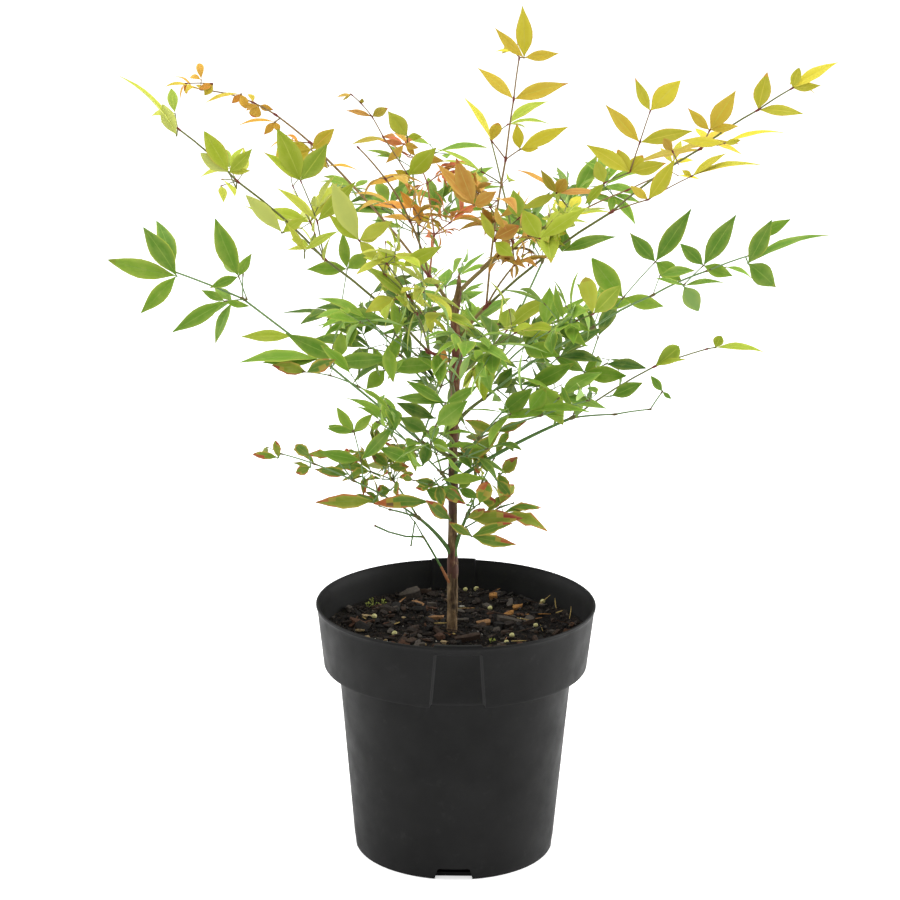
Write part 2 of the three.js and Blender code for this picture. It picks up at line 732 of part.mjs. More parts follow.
// Grows every spray, then leaves out each side twig and leaflet that would touch a limb or what
// another spray keeps. taken holds the room of the cane and the stalks.
function growFoliage(taken) {
  const sprays = [];
  for (const [name, leaf] of Object.entries(COMPOUND_LEAVES)) {
    const knob = stalkCurve(leaf).getPoint(1);
    for (const [side, spray] of Object.entries(leaf.sprays)) {
      const grown = growSpray(spray, knob);
      const kept = { name: `foliage_${name}_${side}`, tint: spray.tint, ...grown };
      kept.room = twigRoom(grown);
      sprays.push(kept);
    }
  }
  const free = (bodies, own) => !bodies.some((body) => (
    taken.some((other) => touches(body, other))
    || sprays.some((spray) => spray !== own && spray.room.some((other) => touches(body, other)))));
  for (const spray of sprays) {
    spray.sides = spray.sides.filter((side) => {
      const room = twigRoom(side);
      const keep = free(room, spray);
      if (keep) spray.room.push(...room);
      return keep;
    });
  }
  for (const spray of sprays) {
    for (const side of [...spray.sides, spray]) {
      side.leaflets = side.leaflets.filter((leaflet) => {
        const room = leafletCorners(leaflet, ROOM.leafMargin);
        const keep = free([room], spray);
        if (keep) spray.room.push(room);
        return keep;
      });
    }
  }
  return sprays;
}

// ---- Assembly ---------------------------------------------------------------------------------

const plant = new THREE.Group();

function addPart(name, geometry, colour, roughness, metalness = 0) {
  const material = new THREE.MeshStandardMaterial({ color: colour, roughness, metalness });
  const mesh = new THREE.Mesh(geometry, material);
  mesh.name = name;
  plant.add(mesh);
}

addPart('pot', makePot(), 0x36373a, 0.55);
addPart('soil', makeSoil(), 0x2b211b, 1);
addPart('cane', toGeometry(toSolid(caneBody(0))), 0x6b4a38, 0.8);

const caneRoom = toSolid(caneBody(GAP));
const taken = [];
for (let height = CANE_FOOT; height < CANE_TIP; height += ROOM.stretch) {
  const top = Math.min(height + ROOM.stretch, CANE_TIP);
  taken.push(...roomAround(caneAt(height), caneAt(top), caneValue(height, 2), BACK));
}
for (const [name, stalk] of Object.entries(BARE_STALKS)) {
  const rings = bareRings(stalk);
  addPart(name, toGeometry(toSolid(limb(rings, BARE_SIDES)).subtract(caneRoom)), 0x6a6a3c, 0.7);
  for (let i = 1; i < rings.length; i += 1) {
    taken.push(...roomAround(rings[i - 1].point, rings[i].point, stalk.radius));
  }
}
for (const [name, leaf] of Object.entries(COMPOUND_LEAVES)) {
  addPart(`stalk_${name}`, toGeometry(makeStalk(leaf, caneRoom)), 0x6f5a34, 0.7);
  const curve = stalkCurve(leaf);
  for (let i = 0; i < STALK.steps; i += 1) {
    taken.push(...roomAround(curve.getPoint(i / STALK.steps), curve.getPoint((i + 1) / STALK.steps),
      STALK.footRadius));
  }
}
for (const spray of growFoliage(taken)) {
  const parts = [spray, ...spray.sides];
  const solids = [
    ...parts.map((twig) => toSolid(makeTwig(twig))),
    ...parts.flatMap((part) => part.leaflets).map((leaflet) => toSolid(leafletBody(leaflet))),
  ];
  addPart(spray.name, toGeometry(wasm.Manifold.union(solids)), TINTS[spray.tint], 0.55);
}

export default plant;
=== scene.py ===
import math

import bpy
import numpy as np
from mathutils import Matrix, Vector, noise


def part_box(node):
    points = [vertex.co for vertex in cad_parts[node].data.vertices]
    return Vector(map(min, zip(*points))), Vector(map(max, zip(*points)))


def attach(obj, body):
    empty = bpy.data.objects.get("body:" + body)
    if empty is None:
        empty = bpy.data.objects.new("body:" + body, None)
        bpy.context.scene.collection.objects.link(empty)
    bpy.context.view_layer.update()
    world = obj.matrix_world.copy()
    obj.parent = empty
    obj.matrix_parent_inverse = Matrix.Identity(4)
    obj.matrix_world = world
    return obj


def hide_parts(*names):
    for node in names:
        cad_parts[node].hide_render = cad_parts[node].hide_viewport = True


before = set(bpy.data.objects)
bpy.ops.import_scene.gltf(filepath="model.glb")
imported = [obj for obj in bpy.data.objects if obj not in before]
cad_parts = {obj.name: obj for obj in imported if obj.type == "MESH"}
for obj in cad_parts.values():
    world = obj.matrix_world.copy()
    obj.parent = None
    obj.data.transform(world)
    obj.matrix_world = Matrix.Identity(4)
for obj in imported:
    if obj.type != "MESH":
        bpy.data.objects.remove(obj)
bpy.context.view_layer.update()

bl_info = {
    "name": "Potted Heavenly Bamboo",
    "version": (1, 0, 0),
    "blender": (4, 5, 0),
    "location": "View3D > Sidebar > Bamboo",
    "description": "Builds a heavenly bamboo shrub in its nursery pot, and a small studio",
    "category": "Add Mesh",
}

# Sizes in the tables are in millimetres; every mesh is made in metres.
MM = 0.001

# ---- The plant's own table ---------------------------------------------------------------------

SOIL_TOP, GAP = 150.0, 0.3
# height, lean to the right, radius
CANE_STATIONS = (
    (150.3, -2.4, 4.3), (166, -2.3, 3.5), (230, -2.6, 2.9), (290, -2.6, 2.6),
    (341, -0.9, 3.3), (364, -2.6, 2.4), (384, 0, 1.5),
)
CANE_FOOT, CANE_TIP = CANE_STATIONS[0][0], CANE_STATIONS[-1][0]
STALK_STEPS, STALK_FOOT, STALK_END, KNOB = 4, 1.5, 0.95, 2.0
TWIG_RADIUS, THINNING, SLIMMEST, BOW, STUB = 0.85, 0.84, 0.5, 0.03, 1.2
LEAF_SHAPE, LEAF_THICKNESS, LEAF_ARCH, LEAF_FOLD, WIDEST = 0.36, 0.02, 0.07, 0.22, 0.45
ARCH_HEIGHT, ARCH_FALL = 4.9, 1.2       # a blade's arch over its length
LEAF_SPREAD, UPRIGHTNESS = 48, 0.25
SIDE_SPREAD, SIDE_THINNER = 50, 0.72
BEND_AT, BEND_RISE = 0.4, 0.16          # where a stalk bends, and how high over its foot
# How far the rule's parts swing sideways and up, in degrees: pairs, tips, side twigs and fans.
PAIR_SWING, TIP_SWING, TWIG_SWING, FAN_SWING = (16, 24), (14, 16), (20, 12), (14, 20)
ROOM_STRETCH, ROOM_MARGIN, LEAF_MARGIN = 22, 0.5, 0.7


def spray(heading, rise, droop, steps, fans, stride, leaf, roll, seed, tint, **more):
    """One spray of a compound leaf, with what most sprays share."""
    return dict(swing=0, shrink=0.95, hang=0.2, last=None, heading=heading, rise=rise, droop=droop,
                steps=steps, fans=fans, stride=stride, leaf=leaf, roll=roll, seed=seed, tint=tint) | more


# Each compound leaf: foot on the cane, then its knob as heading, reach and height, then sprays.
COMPOUND_LEAVES = {
    "crown": (344, 10, 19, 369, {
        "tall": spray(65, 73, 0, (93, 39, 27), (1, 0, 0), 15, 32, -5, 11, "yellow", hang=0.1),
        "right": spray(352, 39, 1.5, (100, 69, 43, 25), (3, 1, 0, 0), 20, 38, 14, 12, "lime"),
        "front": spray(300, 44, -3, (46, 26, 30), (0, 1, 1), 12, 31, 0, 13, "bronze", swing=-38,
                       hang=0.5),
    }),
    "top": (378, 30, 42, 405, {
        "right": spray(15, 25, 2, (36, 45, 31), (1, 1, 0), 14, 31, 20, 21, "yellow"),
        "back": spray(105, 48, 6, (45, 38, 26), (1, 1, 0), 18, 33, 0, 22, "lime"),
        "front": spray(318, 32, 6, (26, 22), (1, 0), 12, 34, 10, 23, "lime", hang=0.5),
    }),
    "arch": (364, 165, 17, 388, {
        "left": spray(150, 41, 9, (117, 31, 18, 19, 19), (1, 0, 0, 0, 0), 14, 24, -20, 31,
                      "orange", swing=3, shrink=0.84),
        "back": spray(84, 40, 2, (32, 45, 22, 14), (1, 1, 1, 0), 13, 23, 0, 32, "red", swing=14),
        "front": spray(250, 50, 5, (53, 44, 36, 26), (1, 1, 1, 0), 13, 24, -10, 33, "bronze",
                       swing=-8, shrink=0.92, hang=0.4),
    }),
    "left": (331, 190, 18, 340, {
        "high": spray(198, 43, 0, (93, 76, 50), (2, 1, 0), 24, 35, -30, 41, "lime", last=50,
                      shrink=0.86),
        "front": spray(258, 43, -2, (46, 20, 33, 32), (1, 1, 1, 0), 18, 35, -15, 42, "lime",
                       swing=-11, hang=0.5),
        "back": spray(98, 50, 3, (84, 52, 34), (2, 1, 0), 22, 36, 0, 43, "green"),
    }),
    "middle": (308, 262, 14, 322, {
        "left": spray(228, 36, 4, (40, 32, 26), (1, 1, 0), 18, 34, -20, 101, "green", hang=0.6),
        "front": spray(275, 30, 4, (52, 36, 24), (1, 1, 0), 20, 36, 0, 102, "green", hang=0.7),
        "right": spray(318, 40, 4, (36, 30), (1, 0), 18, 34, 20, 103, "lime", hang=0.5),
    }),
    "right": (290, 345, 20, 310, {
        "far": spray(330, 36, 4, (94, 47, 40, 29), (2, 0, 0, 0), 24, 42, 25, 51, "green",
                     swing=3, last=54),
        "front": spray(290, 40, 5, (46, 30, 28, 22), (1, 1, 0, 0), 18, 37, 20, 52, "green",
                       swing=9, hang=0.5),
        "back": spray(58, 47, 2, (104, 52), (1, 1), 20, 36, 15, 53, "green", swing=-4),
    }),
    "low_back": (280, 95, 16, 292, {
        "left": spray(135, 34, 4, (56, 40, 28), (1, 1, 0), 20, 35, -15, 111, "deep"),
        "back": spray(92, 26, 6, (74, 46, 30), (1, 0, 0), 22, 36, 0, 112, "green"),
        "right": spray(45, 34, 4, (48, 34), (1, 0), 20, 35, 15, 113, "deep"),
    }),
    "near_right": (256, 318, 22, 286, {
        "far": spray(345, 24, 2, (42, 34), (1, 0), 20, 37, 20, 121, "green", hang=0.35),
        "front": spray(292, 32, 6, (30, 26), (1, 0), 18, 36, 10, 122, "green", hang=0.5),
        "back": spray(30, 40, 4, (40, 34), (1, 0), 18, 34, 15, 123, "deep", hang=0.4),
    }),
    "near_left": (244, 240, 15, 262, {
        "left": spray(205, 44, 8, (32, 26, 22), (1, 1, 0), 17, 34, -15, 131, "green", hang=0.4),
        "front": spray(262, 38, 8, (30, 26), (1, 0), 17, 33, 0, 132, "green", hang=0.7),
        "right": spray(312, 34, 8, (26, 22), (0, 0), 16, 32, 10, 133, "deep", hang=0.6),
    }),
    "low_left": (267, 178, 21, 279, {
        "far": spray(163, 35, 18, (148, 51), (1, 0), 17, 40, -50, 61, "green", last=44),
        "front": spray(222, 45, 10, (38, 30, 26, 22), (1, 1, 1, 0), 18, 34, -12, 62, "green",
                       hang=0.4),
        "back": spray(70, 38, 6, (44, 32), (1, 0), 18, 33, 0, 63, "deep"),
    }),
    "low_right": (252, 15, 81, 291, {
        "far": spray(16, 29, 14, (62, 38), (0, 0), 14, 26, 20, 71, "lime", last=34),
        "back": spray(66, 48, 4, (30, 30), (1, 0), 16, 33, 20, 72, "deep"),
        "front": spray(338, 10, -4, (27, 25), (0, 0), 12, 24, 20, 73, "green"),
    }),
    "foot_left": (202, 205, 25, 231, {
        "far": spray(198, 33, 6, (50, 29, 24), (2, 0, 0), 19, 21, -20, 81, "aged", shrink=0.8),
        "front": spray(215, 22, 8, (22, 20), (0, 0), 14, 34, -15, 82, "aged", hang=0),
        "back": spray(140, 44, 4, (28, 22), (1, 0), 14, 22, -20, 83, "aged"),
    }),
    "foot_right": (200, 330, 11, 232, {
        "far": spray(345, 8, 4, (10, 12), (0, 0), 12, 30, 20, 91, "aged"),
        "back": spray(50, 52, 4, (22, 18), (1, 0), 12, 22, 20, 92, "aged"),
        "front": spray(285, 30, 4, (16, 14), (0, 0), 12, 26, 0, 93, "deep", hang=0.3),
    }),
}

# Stalks whose leaflets have dropped: foot, heading, rise, droop, steps, radius.
BARE_STALKS = {
    "bare_front_left": (184, 205, 62, 28, (29, 17, 16), 0.75),
    "bare_left": (256, 200, 25, 0, (12,), 0.7),
    "bare_right": (216, 8, 30, 14, (36, 10), 0.7),
}

# Finer side shoots by tint: how often one leaves a joint, and its leaflets' size against the spray's.
FINER = {
    "yellow": (0.12, 0.5), "lime": (0.16, 0.5), "green": (0.34, 0.58), "deep": (0.4, 0.6),
    "bronze": (0.25, 0.62), "orange": (0.2, 0.6), "red": (0.45, 0.62), "aged": (0.12, 0.6),
}

# Sprigs with places of their own, in millimetres: tint, joints from the limb outwards, and leaflets as
# joint, tip, the width seen from the front (below nought where the underside shows) and, where the
# tip is blunt, how blunt.
SPRIGS = (
    ("lime", ((-172.9, -53.1, 490.9), (-173.4, -56.1, 487.4)), ((1, -183, -58, 506, -9.6, 0.3),
     (1, -206, -57, 526, 1.8))),
    ("lime", ((-138.1, -41.8, 456.8), (-138.2, -45.8, 452.9), (-142.5, -48.6, 463.4)),
     ((2, -157, -48, 489, 12, 0.2), (2, -127, -47, 477, 8.3), (2, -160, -49, 475, -9.6, 0.3),
     (2, -129, -47, 465, 4.5))),
    ("lime", ((-105.1, -31.1, 424.4), (-110.7, -35.1, 423.4)), ((1, -131, -48, 451, -10.5, 0.2),
     (1, -96, -38, 435, 6.7), (1, -134, -32, 441, 2.2))),
    ("lime", ((-96.3, -46.1, 409.3), (-95.9, -51.1, 415.3)), ((1, -107, -52, 431, 4.8),
     (1, -75, -49, 428, 5.4))),
    ("lime", ((-85.2, -24.7, 405), (-89.1, -28.9, 429.4), (-99.1, -33.1, 455.8)), ((2, -121, -43, 475, 6.7),
     (2, -82, -37, 480, 13.6), (2, -111, -42, 490, 14.7, 0.2), (1, -114, -32, 451, 5.8),
     (1, -65, -32, 456, 10.5))),
    ("lime", ((-45, -48, 398.7), (-62.1, -55, 422.8)), ((1, -79, -71, 462, -13.6, 0.1),
     (1, -42, -62, 438, 9.3), (1, -81, -61, 440, 8), (1, -48, -54, 428, 7.4), (1, -51, -55, 410, 8, 0.2))),
    ("lime", ((-23.4, -41.5, 374.1), (-30, -47.1, 384.1), (-36.2, -52.7, 405.8)), ((2, -50, -59, 420, 7.2),
     (2, -11, -52, 420, 9.6), (2, -47, -56, 411, 2.6), (1, -59, -50, 405, 8),
     (1, -26, -49, 389, 6.4, 0.2))),
    ("green", ((-83.4, 19, 322.8), (-82, 27, 335.8), (-77.8, 32.6, 355.2), (-73, 38.2, 385.5)),
     ((3, -99, 28, 389, 9.6), (3, -78, 40, 410, 7.7), (3, -58, 33, 398, 9.9), (2, -48, 25, 355, 12.5))),
    ("green", ((-188, 51, 380.1), (-185.7, 48, 377.8)), ((1, -205, 52, 411, 14.1, 0.1),
     (1, -232, 51, 385, 13.4, 0.2), (1, -209, 40, 354, 11.2, 0.1))),
    ("green", ((-141.3, 36.7, 365.2), (-138.4, 32.7, 365.7), (-143.4, 29.9, 381.5)),
     ((2, -161, 34, 418, 14.1, 0.1), (2, -136, 28, 398, 6.7), (2, -163, 29, 375, 7))),
    ("green", ((-141.3, 36.7, 365.2), (-138.3, 31.7, 365.9), (-152.4, 28.2, 365.4)),
     ((2, -187, 17, 347, 10.5), (2, -168, 30, 373, 5.8), (2, -136, 28, 361, 4.8))),
    ("orange", ((-164, 78.4, 495.4), (-162.5, 76.4, 500.6), (-180.7, 75, 500.7)), ((2, -185, 76, 490, 1.4),
     (2, -179, 75, 494, 3.5, 0.3), (1, -172, 74, 497, 4.5), (1, -168, 75, 493, 6.1, 0.2))),
    ("orange", ((-144.2, 71.4, 492), (-143.4, 68.4, 495)), ((1, -167, 61, 492, 2.1),
     (1, -149, 66, 489, 4.8, 0.2), (1, -140, 65, 486, 6.7, 0.4))),
    ("orange", ((-131.8, 66.4, 488),), ((0, -143, 64, 487, 3.2), (0, -135, 66, 480, 8.6, 0.8),
     (0, -122, 63, 485, 4.5))),
    ("orange", ((-117.5, 59.9, 480.6), (-120.5, 56.9, 478.8)), ((1, -145, 56, 478, 1.9),
     (1, -128, 54, 471, 5.4, 0.1), (1, -118, 55, 472, 4.5))),
    ("orange", ((-97, 49.4, 466.3), (-96.4, 44.4, 462.8)), ((1, -81, 45, 476, 10.2, 0.1),
     (1, -112, 42, 468, 5.4), (1, -114, 40, 454, 7.4), (1, -85, 42, 451, 6.7))),
    ("orange", ((-87.4, 43.9, 456.7), (-85.2, 39.9, 453.1)), ((1, -66, 39, 452, 2.2),)),
    ("bronze", ((-34.1, 71.2, 441.8), (-50.1, 68.4, 467.1), (-57.7, 65.6, 481.4), (-64.6, 62.8, 490.3),
     (-71, 60, 496.6)), ((4, -81, 56, 496, 2.2), (4, -77, 61, 492, 1.6), (3, -64, 61, 494, 3.2, 0.2),
     (2, -75, 66, 486, 3.8), (2, -48, 66, 488, 6.7, 0.2), (1, -71, 60, 464, 3.8))),
    ("lime", ((-34.7, 91.5, 458.5), (-34.9, 85.5, 465.3)), ((1, -47, 86, 483, 11.5),
     (1, -25, 84, 466, 5.1))),
    ("red", ((-34.7, 91.5, 458.5), (-37.1, 82.5, 460.6)), ((1, -52, 81, 464, 4.2), (1, -48, 76, 448, 5.8),
     (1, -27, 79, 459, 4.8))),
    ("red", ((-29.6, 84.5, 452.6),), ((0, -10, 79, 449, 6.7), (0, -37, 86, 461, 4.2))),
    ("lime", ((-34.1, 71.2, 441.8),), ((0, -15, 64, 461, 13.4),)),
    ("orange", ((-34.1, 71.2, 441.8),), ((0, -62, 71, 436, 5.4), (0, -43, 72, 445, 4.5, 0.1))),
    ("orange", ((-26.3, 36, 415.6), (-24.5, 28, 419.2), (-29.5, 22.4, 429)), ((2, -56, 25, 432, 5.4),
     (2, -39, 20, 440, 5.4), (1, -51, 23, 423, 3.8), (1, -29, 27, 431, 7.4, 0.3), (1, -19, 28, 423, 4.8))),
    ("yellow", ((37.5, 46, 523.3), (40.5, 43, 523.7)), ((1, 41, 32, 558, 11.1), (1, 20, 43, 541, 7.1),
     (1, 63, 43, 527, 7.1))),
    ("yellow", ((34.2, 38.9, 497.4),), ((0, 12, 40, 519, 7.8), (0, 67, 26, 513, 10.4))),
    ("yellow", ((29.4, 28.6, 460.1), (20.2, 25.8, 472.3)), ((1, 2, 29, 500, 4.5),
     (1, 23, 22, 485, 8.2, 0.8))),
    ("yellow", ((29.4, 28.6, 460.1), (38.4, 25.8, 467.1)), ((1, 35, 22, 484, 7.8, 0.1),
     (1, 68, 23, 485, 9.3), (1, 51, 27, 468, 4.5))),
    ("yellow", ((205.4, -23.1, 514.8),), ((0, 208, -26, 528, 7.1, 0.4), (0, 233, -20, 532, 7.4),
     (0, 223, -25, 516, 5.6))),
    ("yellow", ((185, -20.2, 500.7),), ((0, 188, -26, 525, 11.1, 0.1), (0, 213, -27, 502, 7.1))),
    ("yellow", ((150.5, -15.4, 475.4), (155.5, -18.2, 487.4)), ((1, 140, -24, 501, 6.7),
     (1, 169, -28, 514, 11.9), (1, 173, -24, 492, 5.6))),
    ("yellow", ((158.8, -32.6, 480.2), (163.1, -38.6, 482.6)), ((1, 200, -40, 492, 3.3),
     (1, 136, -35, 482, 6.7), (1, 173, -42, 485, 4.1))),
    ("yellow", ((108.7, 17.2, 454.4), (114.3, 14.4, 474.1), (120.2, 11.6, 494.7)), ((2, 108, 3, 516, 7.1),
     (2, 138, 15, 515, 13.4, 0.1), (1, 92, 11, 499, 9.3), (1, 147, 8, 485, 9.7), (0, 81, 9, 475, 10.4),
     (0, 100, 16, 469, 9.3, 0.3), (0, 116, 18, 466, 9.3, 0.3), (0, 132, 14, 461, 9.3))),
    ("bronze", ((111.7, 23.4, 459.2),), ((0, 156, 16, 470, 4.5),)),
    ("bronze", ((137, -13.5, 464.9), (132.5, -21.5, 474.4)), ((1, 173, -37, 484, 4.8),
     (1, 126, -21, 482, 6.7, 0.4))),
    ("lime", ((108.7, 17.2, 454.4), (92.2, 13.7, 447.9)), ((1, 86, 9, 462, 9.3, 0.3),
     (1, 79, 11, 435, 6.3))),
    ("yellow", ((96.3, -7.8, 433.4), (118.7, -12, 442.1), (145.5, -16.2, 458.1)), ((1, 107, -11, 451, 5.9),
     (1, 136, -22, 468, 10.8), (2, 139, -16, 462, 3.7), (2, 167, -14, 473, 4.8), (2, 189, -19, 468, 3.7))),
    ("bronze", ((71.6, 36.5, 426.1), (62.6, 30.2, 438.1)), ((1, 37, 31, 455, 3), (1, 51, 24, 454, 6.3),
     (1, 68, 28, 448, 9.3, 0.5), (1, 92, 21, 440, 4.8))),
    ("lime", ((71.6, 36.5, 426.1), (62.6, 30.2, 438.1)), ((1, 40, 31, 426, 6.7),)),
    ("lime", ((24.5, -47.6, 426.8), (21.5, -55.6, 423.1), (36.4, -61.2, 438.9)),
     ((2, 32, -66, 457, 11.1, 0.1), (1, 13, -59, 443, 6.3), (1, 33, -54, 413, 9.3))),
    ("lime", ((41.9, -52.3, 426.2), (49.1, -64.3, 426.8)), ((1, 38, -63, 444, 13, 0.1),
     (1, 77, -60, 446, 9.3))),
    ("bronze", ((23.2, -48.2, 427.7), (21.4, -60.2, 425.7)), ((1, 36, -63, 435, 10.4, 0.3),)),
    ("bronze", ((13, -55.4, 450), (8.5, -65.4, 447.4)), ((1, -3, -70, 477, 11.5, 0.1),
     (1, -8, -66, 463, 8.5), (1, 22, -68, 457, 8.5), (1, 17, -67, 450, 5.6), (1, -15, -72, 473, 7.4))),
    ("green", ((173.6, -84.9, 420.6), (174.9, -87.9, 417.3)), ((1, 188, -97, 445, 11.5, 0.1),
     (1, 222, -99, 440, 5.6), (1, 194, -85, 403, 13.4))),
    ("green", ((135.8, -69.4, 400.9), (137.5, -73.4, 400.3), (149, -76.2, 413.3)),
     ((2, 135, -74, 427, 8.9, 0.1), (2, 167, -79, 446, 11.9), (2, 167, -79, 407, 8.5))),
    ("green", ((97.8, -37.3, 376.9), (102.8, -41.5, 385.3), (121.9, -45.7, 409.1)), ((2, 105, -51, 428, 9.7),
     (2, 142, -59, 445, 11.5), (2, 139, -51, 399, 11.5), (1, 81, -41, 409, 14.9, 0.2),
     (1, 129, -40, 379, 9.7))),
    ("green", ((135.8, -69.4, 400.9), (137.5, -74.4, 400)), ((1, 120, -78, 406, 3),
     (1, 148, -74, 385, -12.3, 0.3), (1, 163, -74, 404, 3.7))),
    ("lime", ((70.8, -94.1, 381.6), (81, -102.1, 388.2)), ((1, 76, -103, 411, 11.5, 0.8),
     (1, 98, -103, 405, 11.5, 0.2))),
    ("green", ((67.7, 57.4, 394.2),), ((0, 70, 57, 410, 11.5, 0.2), (0, 103, 50, 408, 8.2))),
    ("lime", ((129.7, 36.5, 322.2),), ((0, 146, 36, 335, 12.3, 0.8), (0, 150, 31, 330, 3.6))),
    ("lime", ((165, 46.6, 332), (169.8, 43.6, 333.6)), ((1, 173, 42, 342, 7.9, 0.6),
     (1, 203, 44, 333, 5.2))),
    ("green", ((-56.2, -46.8, 304.9), (-66, -52.8, 300.2)), ((1, -77, -53, 315, 7.2, 0.2),
     (1, -82, -57, 304, 5.6, 0.1), (1, -54, -51, 310, 6.4, 0.3))),
    ("aged", ((-112.7, -39, 281.3), (-114, -42, 279.5)), ((1, -130, -43, 283, 5.6, 0.4),
     (1, -115, -43, 291, 5.6, 0.5))),
    ("aged", ((-94.1, -33, 273.7), (-93.9, -36, 271.6), (-94.1, -38.1, 279.5)),
     ((2, -103, -42, 288, 8.3, 0.5), (1, -106, -37, 275, 2.8), (1, -103, -38, 268, 7.2, 0.4))),
    ("aged", ((-70, -21.7, 262.8),), ((0, -92, -23, 268, 7.2),)),
    ("aged", ((-45.1, 6.2, 255.6), (-45.1, 2.7, 261.6)), ((1, -56, 1, 272, 7.9, 0.2),
     (1, -31, 3, 262, 7.2, 0.1))),
    ("green", ((-24.6, -19.8, 277.5), (-28.5, -24.8, 273.5)), ((1, -51, -26, 282, 9.5),
     (1, -28, -25, 279, 4))),
    ("aged", ((-39.9, 1.8, 249.6), (-43, -4.2, 247.7)), ((1, -52, -6, 247, 9.1, 0.8),)),
    ("aged", ((-8.6, -10.4, 259.2), (-17.1, -16.4, 254.5), (-28.4, -20.6, 259.1)),
     ((2, -36, -21, 262, 5.2, 0.4), (1, -27, -16, 252, 6, 0.1))),
    ("green", ((-2.6, 0, 241.8), (-7.5, -9, 244)), ((1, -20, -9, 249, 9.9, 0.2),)),
    ("green", ((-5.9, -5.7, 253.4), (-9.5, -15.7, 254.3)), ((1, 5, -19, 245, 8.7),)),
    ("green", ((-7.6, -8.7, 257.2), (-9.5, -20.7, 259.3)), ((1, 19, -20, 262, 7.2),)),
    ("deep", ((-19.4, -17.3, 271.9), (-22.4, -25.3, 270.4)), ((1, -18, -24, 286, 9.1, 0.2),)),
    ("deep", ((-16.8, -60.5, 294.9), (-18.8, -67.5, 304.6)), ((1, -36, -68, 314, 10.3, 0.1),)),
    ("deep", ((-18.5, 14.7, 290.6), (-14.7, 7.7, 293.3)), ((1, -41, 11, 302, 9.1),)),
    ("green", ((-16.8, -60.5, 294.9), (-13.7, -70.5, 309.2), (-7.9, -77.5, 325.3)), ((2, -39, -74, 329, 6.8),
     (2, -33, -81, 340, 6.8), (2, 13, -80, 336, 7.2))),
    ("green", ((-16.8, -60.5, 294.9), (-13.7, -73.5, 310.1)), ((1, 6, -81, 328, 13.1),)),
    ("green", ((-3.7, 12, 289.7), (-8, 0, 292.4)), ((1, 1, 1, 280, 11.1, 0.1),)),
    ("green", ((-6.1, -45.6, 287.4), (-5.5, -55.6, 287.6)), ((1, -17, -54, 298, 7.2),)),
    ("aged", ((10.4, 13, 259.9), (5.7, 6, 265.1)), ((1, 28, 2, 286, 9.9),)),
    ("aged", ((25, -17.7, 291.2),), ((0, 4, -19, 300, 6.8), (0, 45, -18, 298, 6))),
    ("aged", ((26.7, 4.9, 256.9), (28.7, 0.7, 257.9)), ((1, 40, 0, 269, 9.1, 0.2),
     (0, 35, 0, 244, 7.9, 0.1))),
    ("aged", ((19.6, 9.4, 256.2),), ((0, 17, 10, 270, 8.3, 0.1),)),
    ("aged", ((14.4, -33, 247.3),), ((0, 19, -34, 262, 11.5, 0.6),)),
    ("deep", ((35.2, -2.3, 306.8), (25.5, -10.3, 317)), ((1, 35, -11, 332, 9.9, 0.1),)),
    ("green", ((28.5, -6.2, 300.3),), ((0, 48, -10, 318, 12.3, 0.1),)),
    ("green", ((53.2, -2.8, 314.8), (52.1, -13.8, 321)), ((1, 70, -16, 297, 15.9, 0.1),)),
    ("green", ((44.8, 3.2, 315.7),), ((0, 76, 3, 332, 11.9),)),
    ("green", ((83.2, 41.7, 316.6),), ((0, 62, 40, 330, 7.9), (0, 94, 41, 328, 5.2),
     (0, 111, 32, 315, 11.9, 0.1))),
    ("green", ((25.2, -8.1, 297.1),), ((0, 68, -21, 305, 6.8),)),
    ("green", ((42.6, -44.1, 309.9), (44.7, -50.1, 313.9)), ((1, 84, -57, 317, 5.6),
     (1, 56, -51, 328, 11.9, 0.2))),
    ("green", ((97.1, 27.1, 303.4), (100.6, 23.1, 305.2)), ((1, 121, 17, 315, 9.5, 0.1),)),
    ("green", ((124.9, 1.1, 302.1), (132.1, -2.9, 315.1)), ((1, 124, -3, 326, 5.6),
     (1, 138, -3, 310, 3.2, 0.2))),
    ("green", ((-83.4, 19, 322.8), (-76.9, 11, 332.2)), ((1, -112, -3, 348, 12.3), (1, -76, 8, 351, 9.5))),
    ("green", ((-90.6, -48.5, 342.1), (-87, -54.5, 347)), ((1, -122, -64, 348, 8.7),
     (1, -136, -73, 351, 7.2))),
    ("green", ((-83.4, 19, 322.8), (-81.6, 9, 330.1)), ((1, -43, -3, 334, 11.1),)),
    ("green", ((-45.9, 48.1, 326.9), (-49, 38.1, 319)), ((1, -8, 29, 326, 11.1), (1, -35, 30, 345, 8.7),
     (1, -57, 34, 334, 6.8))),
    ("aged", ((-94.4, -63, 340.7),), ((0, -115, -71, 349, 8.7, 0.1), (0, -77, -66, 351, 8.7))),
    ("green", ((-45.9, 48.1, 326.9), (-48.1, 40.1, 317.5)), ((1, -61, 37, 305, 10.7),)),
    ("lime", ((-112.3, 27.9, 344), (-107.9, 21.9, 343.7)), ((1, -142, 19, 344, 7.9),)),
    ("green", ((-60.4, -22, 256.7), (-62, -22, 272.6), (-66.4, -20, 290.3)), ((1, -90.1, -26, 278.2, 8.5),
     (1, -39.7, -28, 297.2, 9), (2, -83.6, -18, 293.5, 6, 0.4), (2, -75.1, -14, 302.5, 5.5),
     (2, -55.5, -26, 305.8, 7))),
    ("aged", ((-14.9, -14, 238.6), (-17.5, -18, 243.8)), ((1, -54.1, -28, 247.4, 9.5, 0.2),)),
    ("aged", ((-48, -19, 252), (-53.6, -24, 246)), ((1, -91.2, -32, 247.3, 10, 0.1),)),
    ("aged", ((5.8, -6, 224), (9.6, -20, 221.3)), ((1, 36, -26, 233.9, 7, 0.1),
     (1, 38.3, -32, 218.4, 8.5, 0.1), (1, -5, -16, 229.7, 6, 0.2))),
